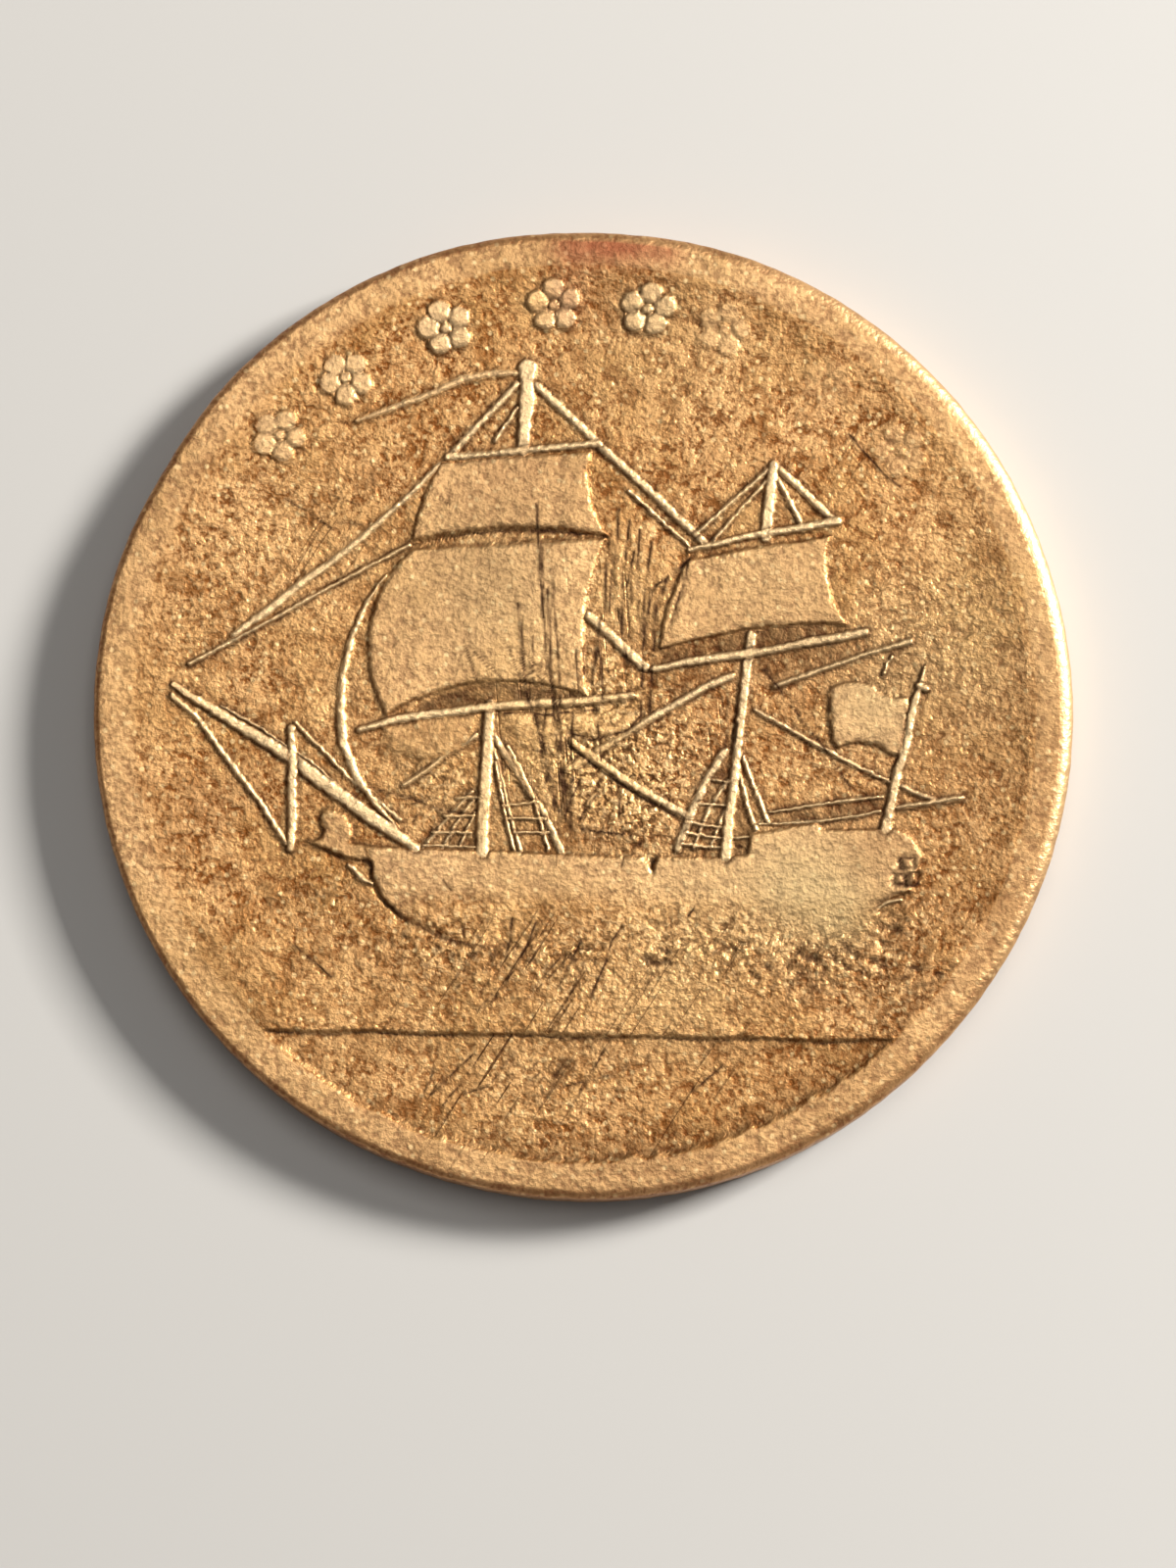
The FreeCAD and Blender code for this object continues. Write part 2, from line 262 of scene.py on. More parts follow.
def draw_hull(relief):
    """The ship's side with its beak, figurehead, stern windows and deck notch."""
    relief.plate(outline(
        (-6.1, -4.0), (-6.75, -3.85), ((-6.78, -3.15), (-7.15, -2.93)), ((-7.5, -3.0), (-7.47, -3.45)),
        ((-7.6, -3.72), (-7.95, -3.8)), ((-7.4, -4.05), (-6.85, -4.32)), (-6.1, -4.45),
    ), 0.1, dirt=1.0)
    relief.line([(-6.78, -4.52, 0.1), (-6.35, -4.9, 0.16), (-6.05, -5.05, 0.1)], 0.09)
    border = outline(
        (-6.3, -3.98), (-2.9, -4.02), (0.9, -4.12), (1.85, -4.12), (2.1, -4.5), (2.28, -4.1),
        (4.35, -4.08), (4.92, -4.0), (4.98, -3.38), (5.9, -3.22), (6.9, -3.02), (7.15, -3.22),
        (8.9, -3.16), ((9.75, -3.42), (10.08, -3.95)), (9.75, -5.0), ((9.2, -5.25), (8.85, -5.6)),
        (8.5, -6.2), ((2.0, -6.75), (-4.2, -6.6)), ((-5.55, -5.7), (-6.1, -4.6)),
    )
    spots, gap = relief.about_border(border, 0.7)
    sunk = smooth(-4.9, -6.4, relief.y[spots]) * smooth(-6.2, -3.8, relief.x[spots])
    relief.rise(spots, gap, 0.135 - 0.07 * sunk, 0.14, 0.1, 0.8 * (1 - sunk),
                0.56 * (1 - 0.7 * sunk))
    relief.cut([(-6.0, -5.1, 0.07), (-5.7, -5.6, 0.16), (-5.1, -6.05, 0.2), (-4.5, -6.35, 0.18),
                (-3.9, -6.65, 0.2), (-3.2, -6.8, 0.16), (-2.4, -6.85, 0.12), (-1.4, -6.8, 0.06)],
               0.03, 0.8)
    relief.cut([(-6.38, -4.42, 0.16), (-6.15, -4.48, 0.2), (-6.07, -4.85, 0.08)], 0.07, 1.0)
    relief.cut(even(0.07, (1.25, -4.1), (1.23, -4.38)), 0.03)
    relief.cut([(2.12, -4.2, 0.24), (2.14, -4.6, 0.1)], 0.04, 0.9)
    for window in (
        outline((9.42, -3.98), (9.83, -4.0), (9.86, -4.3), (9.42, -4.35)),
        outline((9.25, -4.5), (9.52, -4.5), (9.55, -4.82), (9.27, -4.82)),
        outline((9.62, -4.5), (9.95, -4.45), (9.98, -4.8), (9.62, -4.85)),
    ):
        spots, gap = relief.about_border(window, 0.3)
        frame_line = np.exp(-(gap / 0.06) ** 2)
        relief.height[spots] -= 0.07 * frame_line
        relief.darken(np.maximum(frame_line, 0.5 * (gap < 0)), spots)
    relief.line([(8.85, -5.5, 0.08), (9.1, -5.33, 0.12), (9.5, -5.25, 0.1)], 0.11)
    relief.cut(even(0.07, (8.85, -5.35), (9.2, -5.12), (9.5, -5.05)), 0.03, 0.7)
    relief.cut([(8.95, -5.65, 0.2), (9.4, -5.7, 0.5), (9.3, -6.1, 0.4)], 0.03, 0.5)


def draw_sails(relief):
    """Fore topgallant and topsail, main topsail, the furled course and the jib."""
    relief.plate(outline(
        (-4.15, 7.5), (0.12, 7.92), ((0.1, 6.6), (0.62, 5.42)),
        ((-2.0, 5.62), (-5.0, 5.15)), ((-4.72, 6.3), (-4.15, 7.5)),
    ), 0.095, dirt=0.55)
    relief.plate(outline(
        (-5.05, 4.88), (0.58, 5.3), ((-0.02, 3.0), (0.1, 0.62)),
        ((-2.7, 1.02), (-5.75, -0.05)), ((-6.25, 2.3), (-5.05, 4.88)),
    ), 0.105, dirt=0.7)
    relief.cut([(-5.0, 5.02, 0.03), (-3.5, 5.36, 0.06), (-2.5, 5.48, 0.1), (-1.0, 5.5, 0.12),
                (0.0, 5.42, 0.1), (0.6, 5.34, 0.05)], 0.05, 1.0)
    relief.plate(outline(
        (2.95, 4.72), (7.1, 5.5), ((7.08, 4.0), (7.68, 2.88)),
        ((4.9, 2.72), (2.2, 2.02)), ((2.45, 3.5), (2.95, 4.72)),
    ), 0.105, dirt=0.75)
    relief.cut(even(0.07, (2.98, 4.75), (2.85, 4.1), (2.62, 3.2), (2.42, 2.6)), 0.035, 0.9)
    relief.cut(even(0.06, (2.2, 2.05), (3.5, 2.3), (4.5, 2.55), (6.0, 2.78), (7.6, 2.8)), 0.035, 0.9)
    for border, height in (
        (outline((-5.9, -0.42), (-4.0, -0.02), (-3.05, 0.08), ((-4.3, -1.3), (-5.9, -0.42))), 0.06),
        (outline((-2.5, 0.12), (1.7, 0.1), ((0.9, -0.6), (0.29, -0.7)), (-0.38, -0.48),
                 (-0.5, -1.1), (-1.6, -0.95), (-2.5, 0.12)), 0.06),
    ):
        relief.plate(border, height, wall=0.16, dome=0.35, dirt=0.6, rub=0.45)
    relief.line([(-5.75, 4.1, 0.06), (-6.3, 3.3, 0.12), (-6.75, 2.2, 0.17), (-6.98, 1.1, 0.2),
                 (-7.05, 0.0, 0.24), (-6.95, -0.9, 0.26), (-6.55, -1.9, 0.24), (-6.0, -2.7, 0.15),
                 (-5.35, -3.4, 0.1)], 0.11, dirt=0.55, rub=1.0)
    relief.shade(outline((-5.75, 4.1), ((-6.95, 1.1), (-7.0, -0.6)), (-6.2, 0.2),
                         ((-6.4, 2.2), (-5.3, 4.3))), 0.35, 0.3)


def draw_spars(relief):
    """Masts, yards, gaff, bowsprit and dolphin striker: height, dirt and painted shade beside it, and
    strokes.
    """
    for height, dirt, strokes in (
        (0.125, 0.75, [(-1.7, 10.35, 0.55), (-1.72, 9.9, 0.34), (-1.72, 9.45, 0.46), (-1.78, 8.7, 0.36),
                       (-1.82, 7.9, 0.36)]),
        (0.125, 0.9, [(-2.72, 0.3, 0.32), (-2.82, -2.0, 0.34), (-2.88, -4.05, 0.36)]),
        (0.125, 0.75, [(5.42, 7.6, 0.26), (5.32, 6.9, 0.3), (5.2, 5.4, 0.34)]),
        (0.125, 0.9, [(4.86, 2.52, 0.28), (4.8, 2.0, 0.28), (4.6, 0.0, 0.26), (4.42, -2.0, 0.26),
                      (4.27, -4.05, 0.34)]),
        (0.11, 0.75, even(0.19, (-4.0, 7.66), (-2.4, 7.8), (-1.0, 8.0), (0.35, 8.15))),
        (0.125, 0.9, [(-6.5, -0.5, 0.16), (-5.5, -0.2, 0.24), (-4.0, 0.05, 0.26), (-3.0, 0.2, 0.26),
                      (-1.0, 0.4, 0.26), (0.1, 0.45, 0.24), (1.4, 0.65, 0.18)]),
        (0.11, 0.75, [(3.0, 5.02, 0.14), (4.6, 5.42, 0.2), (6.2, 5.72, 0.22), (7.3, 5.95, 0.24)]),
        (0.125, 1.0, [(2.0, 1.45, 0.2), (3.0, 1.65, 0.24), (4.3, 1.9, 0.26), (5.5, 2.08, 0.24),
                      (6.5, 2.3, 0.26), (7.5, 2.5, 0.26), (8.2, 2.68, 0.22)]),
        (0.11, 0.75, [(5.6, 1.03, 0.18), (7.0, 1.55, 0.15), (8.2, 2.0, 0.16), (9.5, 2.4, 0.18)]),
        (0.125, 1.0, [(-11.85, 0.72, 0.16), (-10.9, 0.12, 0.26), (-10.0, -0.42, 0.3),
                      (-8.55, -1.35, 0.36), (-7.2, -2.35, 0.4), (-6.0, -3.15, 0.4), (-5.2, -3.7, 0.3),
                      (-4.8, -4.0, 0.2)]),
        (0.125, 0.9, [(-8.45, -0.5, 0.22), (-8.42, -1.9, 0.26), (-8.42, -3.2, 0.27),
                      (-8.47, -4.05, 0.2)]),
    ):
        relief.line(strokes, height, dirt)


def draw_rigging(relief):
    """Stays, lifts, shrouds with their ratlines, braces and the boom lines by the stern."""
    relief.line([(-1.95, 10.2, 0.16), (-2.6, 10.2, 0.22), (-3.5, 10.02, 0.24), (-4.5, 9.55, 0.22),
                 (-5.5, 9.12, 0.2), (-6.6, 8.7, 0.14)], 0.075, dirt=0.5, rub=0.7)
    ropes = [
        (0.19, [(-2.0, 9.9), (-3.9, 7.72)]), (0.12, [(-2.0, 9.2), (-2.65, 8.15)]),
        (0.24, [(-1.45, 9.85), (0.25, 8.2), (1.6, 6.95), (3.55, 5.15)]),
        (0.11, [(1.2, 6.75), (3.0, 5.12)]), (0.12, [(-11.4, 1.35), (-5.1, 5.02)]),
        (0.13, [(5.3, 7.5), (3.15, 5.45)]), (0.11, [(5.35, 7.3), (3.65, 5.25)]),
        (0.14, [(5.5, 7.2), (6.25, 5.85)]), (0.22, [(5.45, 7.6), (7.15, 6.0)]),
        (0.16, [(-11.9, 0.4), (-11.2, -0.2), (-10.5, -1.15), (-9.3, -2.75), (-8.6, -3.9)]),
        (0.12, [(-8.3, -0.35), (-6.74, -1.96), (-5.28, -3.14)]),
        (0.1, [(-10.5, 0.1), (-9.6, -0.35), (-8.85, -0.9), (-7.9, -1.5), (-6.9, -2.35), (-5.5, -3.3)]),
        (0.28, [(0.1, 3.0), (0.9, 2.3), (1.75, 1.5)]),
        (0.22, [(4.3, 1.28), (3.5, 0.92), (2.5, 0.32), (1.6, -0.25), (0.7, -0.85), (-0.4, -1.55)]),
        (0.24, [(-0.7, -0.47), (0.5, -1.35), (1.8, -2.2), (3.1, -2.88)]),
        (0.12, [(5.0, 0.3), (6.4, -0.45), (7.4, -1.0), (9.05, -1.78)]),
        (0.15, [(9.35, -1.85), (9.9, -2.1), (10.5, -2.3)]),
        (0.14, [(9.15, -2.52), (10.2, -2.36), (11.2, -2.2)]),
        (0.1, [(5.1, -3.1), (7.0, -2.98), (8.2, -2.75), (8.75, -2.6)]),
        (0.09, [(5.4, -2.75), (7.2, -2.45), (8.8, -2.2)]),
        (0.14, [(-5.2, -2.12), (-4.5, -1.65), (-4.0, -1.2), (-3.1, -0.6)]),
        (0.1, [(9.0, 1.95), (8.85, 1.75), (8.77, 1.45)]),
        # shrouds
        (0.22, [(-2.6, -0.6), (-1.95, -1.6), (-1.2, -2.75), (-0.85, -3.4), (-0.55, -4.1)]),
        (0.13, [(-2.6, -1.0), (-2.35, -2.0), (-2.05, -3.1), (-1.75, -4.0)]),
        (0.1, [(-2.55, -1.4), (-2.3, -2.6), (-1.95, -4.0)]),
        (0.1, [(-2.2, -0.9), (-1.5, -2.2), (-1.15, -3.3), (-0.95, -3.95)]),
        (0.12, [(-3.2, -2.3), (-3.9, -3.05), (-4.6, -3.95)]),
        (0.12, [(-3.15, -2.5), (-3.7, -3.3), (-4.05, -3.95)]), (0.1, [(-3.1, -2.9), (-3.55, -3.9)]),
        (0.24, [(4.15, -0.95), (3.6, -1.9), (3.25, -2.75), (2.85, -3.85)]),
        (0.12, [(4.25, -1.8), (3.75, -2.65), (3.3, -3.8)]), (0.1, [(4.25, -2.6), (3.8, -3.8)]),
        (0.13, [(4.68, -1.1), (5.0, -1.9), (5.5, -3.05)]),
        (0.13, [(4.55, -1.5), (4.85, -2.5), (5.15, -3.25)]),
    ]
    for width, points in ropes:
        relief.line(even(width, *points), 0.09, dirt=0.95)
    relief.line([(-10.1, 2.25, 0.16), (-9.2, 2.95, 0.24), (-8.0, 3.95, 0.24), (-6.5, 5.15, 0.2),
                 (-5.2, 6.4, 0.16), (-4.2, 7.45, 0.14)], 0.085, dirt=0.55)
    ratlines = [
        ((-3.62, -2.48), (-3.0, -2.45)), ((-4.0, -3.0), (-3.1, -2.98)), ((-4.35, -3.5), (-3.2, -3.48)),
        ((-4.6, -3.9), (-3.1, -3.9)), ((-2.3, -2.65), (-1.3, -2.55)), ((-2.15, -3.05), (-1.05, -3.05)),
        ((-1.95, -3.48), (-0.95, -3.45)), ((3.85, -1.8), (4.4, -1.88)), ((3.45, -2.5), (4.35, -2.55)),
        ((3.1, -3.08), (4.3, -3.2)), ((3.1, -3.4), (4.25, -3.5)), ((2.95, -3.72), (4.2, -3.78)),
        ((4.35, -3.5), (4.95, -3.45)),
    ]
    for first, last in ratlines:
        relief.line(even(0.09, first, last), 0.085, dirt=0.9)
    for place in ((-1.45, -4.05), (-0.93, -4.05), (-3.6, -4.05), (4.65, -3.72), (1.75, -3.72)):
        relief.cut([(place[0] - 0.07, place[1], 0.17), (place[0] + 0.07, place[1] - 0.03, 0.17)],
                   0.05, 1.0)


def draw_ensign(relief):
    """The ensign staff with its knob, and a plain flag with wavy edges."""
    border = outline(
        (7.22, 0.95), (7.5, 1.1), ((8.0, 1.17), (8.5, 1.05)), (8.65, 0.88), (9.05, 0.72), (9.5, 0.72),
        (9.55, 0.4), (9.45, -0.1), (9.35, -0.95), (9.05, -0.95), ((8.3, -0.62), (7.5, -0.78)),
        (7.32, -0.6), (7.25, 0.0), (7.2, 0.6),
    )
    relief.plate(border, 0.105, dirt=0.85, rub=0.6)
    relief.cut(even(0.07, (9.05, 0.17), (9.25, 0.05), (9.48, 0.22)), 0.03, 0.7)
    relief.line([(9.95, 1.65, 0.08), (9.87, 1.25, 0.16), (9.72, 0.6, 0.24), (9.5, -0.6, 0.26),
                 (9.2, -1.8, 0.26), (9.03, -2.7, 0.26), (8.97, -3.15, 0.34)], 0.125, dirt=0.9)
    relief.line([(9.78, 1.1, 0.18), (9.98, 1.02, 0.22)], 0.125, dirt=0.9)


def draw_dark_lines(relief):
    """Grooves between the masts, and the long scratches over the sails and the sea."""
    grooves = [
        (0.07, [(1.72, 3.75), (1.7, 1.6), (1.66, -0.1)]),
        (0.06, [(2.08, 3.5), (1.98, 1.6), (1.93, 0.1)]),
        (0.08, [(-1.09, 3.75), (-0.95, 0.95), (-0.86, 0.1), (-0.52, -2.95)]),
        (0.06, [(-0.7, 0.9), (-0.66, -0.9), (-0.4, -2.8)]),
        (0.06, [(-1.9, 3.07), (-1.66, 0.5), (-1.32, -0.1), (-0.9, -2.0), (-0.66, -2.85)]),
        (0.09, [(0.45, 2.95), (0.36, 2.0), (0.2, 0.9)]),
        (0.09, [(-0.45, -0.82), (0.4, -1.49), (1.7, -2.34), (2.75, -2.9)]),
        (0.08, [(-0.38, -0.48), (0.29, -0.7), (1.33, -0.37), (1.7, 0.1)]),
        (0.08, [(-2.3, 0.05), (-1.7, 0.12), (-1.1, 0.02), (-0.4, 0.14), (0.4, 0.2)]),
        (0.055, [(0.65, 5.2), (0.58, 4.2), (0.55, 3.1)]), (0.05, [(1.4, 4.95), (1.3, 4.4), (1.2, 3.9)]),
        (0.05, [(1.12, 3.5), (1.05, 2.55)]),
        (0.08, [(3.2, 4.95), (2.35, 4.1), (2.08, 3.3), (2.0, 1.8)]),
        (0.06, [(2.9, 4.6), (2.0, 3.9), (1.8, 3.0)]), (0.05, [(0.95, 6.2), (0.85, 4.6)]),
        (0.05, [(1.25, 5.9), (1.15, 4.7)]), (0.05, [(1.55, 5.6), (1.5, 4.4)]),
        (0.045, [(0.75, 4.4), (0.7, 3.2)]), (0.045, [(1.9, 5.2), (1.75, 4.1)]),
        (0.06, [(5.2, 1.55), (5.85, 0.75), (6.5, -0.1), (7.0, -0.7), (7.9, -2.0)]),
        (0.07, [(1.05, -2.0), (1.08, -2.6), (1.12, -3.1)]),
        (0.06, [(0.45, -2.3), (0.2, -2.6), (-0.02, -3.02)]),
        (0.055, [(-0.08, -1.9), (-0.25, -2.35), (-0.42, -2.7)]),
        (0.08, [(0.0, -3.33), (0.8, -3.42), (1.7, -3.5)]), (0.06, [(-0.5, -1.9), (-0.45, -3.1)]),
        (0.06, [(-1.25, -1.0), (-1.1, -1.7), (-1.0, -2.2)]), (0.055, [(-0.95, -1.9), (-0.8, -2.6)]),
        (0.055, [(-6.2, -2.2), (-5.0, -2.5), (-4.1, -2.85), (-3.5, -2.9)]),
        (0.07, [(-8.05, -3.95), (-7.4, -4.12), (-6.9, -4.36)]),
        (0.06, [(-1.95, -6.0), (-2.0, -6.6), (-2.1, -7.1)]),
        (0.06, [(-1.25, -6.1), (-1.5, -6.8), (-1.8, -7.4), (-2.5, -8.5)]),
        (0.055, [(1.35, -6.1), (1.0, -6.6), (0.85, -7.2), (0.4, -8.3)]),
        (0.05, [(0.1, -6.6), (-0.5, -7.9)]),
        (0.054, [(-1.45, 6.3), (-1.3, 4.0), (-1.13, 2.05), (-0.98, 1.07), (-0.74, 0.1), (-0.65, -0.7),
                 (-0.6, -1.85), (-0.48, -2.75)]),
        (0.048, [(-1.94, 3.3), (-1.82, 2.0), (-1.7, 0.78), (-1.38, -0.1), (-1.22, -0.9), (-0.98, -1.85),
                 (-0.78, -2.8)]),
        (0.05, [(1.93, 3.8), (1.8, 3.1), (1.74, 2.55)]),
        (0.045, [(2.74, 3.75), (2.62, 3.2), (2.5, 2.85)]),
        (0.045, [(1.02, -1.85), (1.1, -2.4), (1.12, -2.84)]),
        (0.045, [(0.6, -1.76), (0.25, -2.3), (-0.03, -2.73)]), (0.04, [(-3.45, 2.0), (-3.1, 1.0)]),
        (0.04, [(-3.2, 1.85), (-2.35, 1.05)]), (0.04, [(-1.3, 5.2), (-1.2, 3.4)]),
        (0.04, [(-1.0, 4.4), (-0.8, 2.2), (-0.7, 0.8)]),
        (0.045, [(0.35, 2.6), (0.5, 1.4), (0.55, 0.5)]),
        (0.045, [(-0.3, 0.3), (-0.35, -1.1), (-0.25, -1.9)]),
        (0.045, [(0.35, 0.3), (0.5, -0.9), (0.55, -1.3)]), (0.045, [(-1.1, 0.2), (-1.2, -0.8)]),
        (0.05, [(7.6, 8.55), (8.1, 7.95), (8.6, 7.4), (9.1, 7.0)]),
        (0.045, [(-8.6, 6.3), (-7.8, 5.8), (-7.3, 5.45)]), (0.04, [(-4.0, -4.9), (-3.75, -5.2)]),
        (0.045, [(3.4, -5.6), (3.2, -5.85)]), (0.045, [(-3.4, -6.25), (-3.35, -6.6)]),
        (0.045, [(-8.3, -6.9), (-7.2, -7.8)]), (0.045, [(-3.0, -10.0), (-4.2, -11.2)]),
        (0.045, [(0.9, -9.8), (0.2, -11.0)]), (0.045, [(4.4, -10.2), (3.5, -11.0)]),
    ]
    for width, points in grooves:
        relief.cut(even(width * 1.6, *points), width * 0.12, min(1.0, width * 22))


def draw_scuffs(relief):
    """Scratches: straight cuts of drawn place, length and heading, thickest between the masts.
    Each row is a number of cuts, their middle and spread, heading and its spread, and lengths."""
    draw = np.random.default_rng(7)
    fields = [
        (16, (-0.6, -1.2), (0.7, 1.5), 94, 8, (0.8, 2.6)),
        (12, (1.1, 3.4), (0.5, 1.2), 97, 8, (0.7, 2.2)),
        (10, (-1.0, 1.6), (1.2, 1.0), 96, 10, (0.8, 2.6)),
        (14, (2.2, -0.6), (1.4, 1.4), 60, 60, (0.3, 0.8)),
        (10, (4.2, -0.6), (0.4, 1.0), 84, 8, (0.5, 1.2)),
        (18, (1.0, -3.0), (2.4, 0.7), 60, 60, (0.2, 0.6)),
        (14, (-3.8, -2.6), (1.0, 1.0), 50, 50, (0.3, 0.8)),
        (16, (-1.0, -7.3), (3.0, 0.9), 56, 12, (0.4, 2.0)),
        (24, (-1.5, -10.6), (3.6, 0.8), 50, 14, (0.4, 2.0)),
        (8, (-6.5, 6.5), (2.0, 1.4), 148, 18, (0.4, 1.2)),
    ]
    for count, middle, spread, heading, turn, lengths in fields:
        for _ in range(count):
            x, y = draw.normal(middle, np.array(spread) * 0.6)
            angle = math.radians(draw.normal(heading, turn))
            half = draw.uniform(*lengths) / 2
            depth = draw.uniform(0.004, 0.01)
            reach = (half * math.cos(angle), half * math.sin(angle))
            if math.hypot(x, y) + half < DRAWN_REACH:
                relief.cut([(x - reach[0], y - reach[1], 0.02), (x, y, 0.055),
                            (x + reach[0], y + reach[1], 0.02)], depth, 0.2 + depth * 70)


def draw_hollows(relief):
    """Painted shade between yards, shrouds and booms."""
    for border, dirt in (
        (outline((-5.6, -0.3), (-4.2, 0.62), (-2.7, 0.98), (-1.0, 0.85), (0.3, 0.62), (0.2, 0.4),
                 (-3.0, 0.22)), 0.72),
        (outline((2.2, 1.62), (5.0, 2.1), (7.6, 2.62), (7.5, 2.85), (4.9, 2.68), (2.2, 2.02)), 0.66),
        (outline((5.0, 1.25), (5.0, 1.95), (8.0, 2.5), (8.2, 2.1), (5.7, 1.15)), 0.45),
        (outline((5.2, -3.05), (7.0, -2.95), (8.8, -2.6), (8.8, -2.3), (7.2, -2.5)), 0.62),
        (outline((3.3, 5.4), (5.25, 7.3), (6.8, 5.95)), 0.22),
        (outline((3.0, -3.95), (4.1, -1.2), (4.5, -1.4), (5.2, -3.4), (4.8, -4.0)), 0.55),
        (outline((-2.6, -0.9), (-0.9, -3.95), (-2.6, -3.95)), 0.3),
        (outline((-3.1, -2.3), (-3.1, -3.95), (-4.6, -3.95)), 0.5),
        (outline((0.75, 4.9), (2.75, 4.75), (2.2, 2.2), (1.3, 1.9), (0.5, 3.0)), 0.12),
        (outline((1.7, 3.6), (2.05, 3.6), (1.95, 0.0), (1.68, 0.0)), 0.3),
        (outline((2.0, 1.35), (4.1, 1.75), (4.1, 1.35), (2.6, 0.6), (1.9, 0.9)), 0.38),
        (outline((-6.6, -0.9), (-5.2, -0.3), (-3.2, -0.1), (-3.1, -1.0), (-5.2, -1.9)), 0.28),
        (outline((-0.7, -2.9), (-0.4, -3.95), (2.9, -4.0), (2.6, -3.2), (1.0, -3.4)), 0.32),
    ):
        relief.shade(border, dirt)


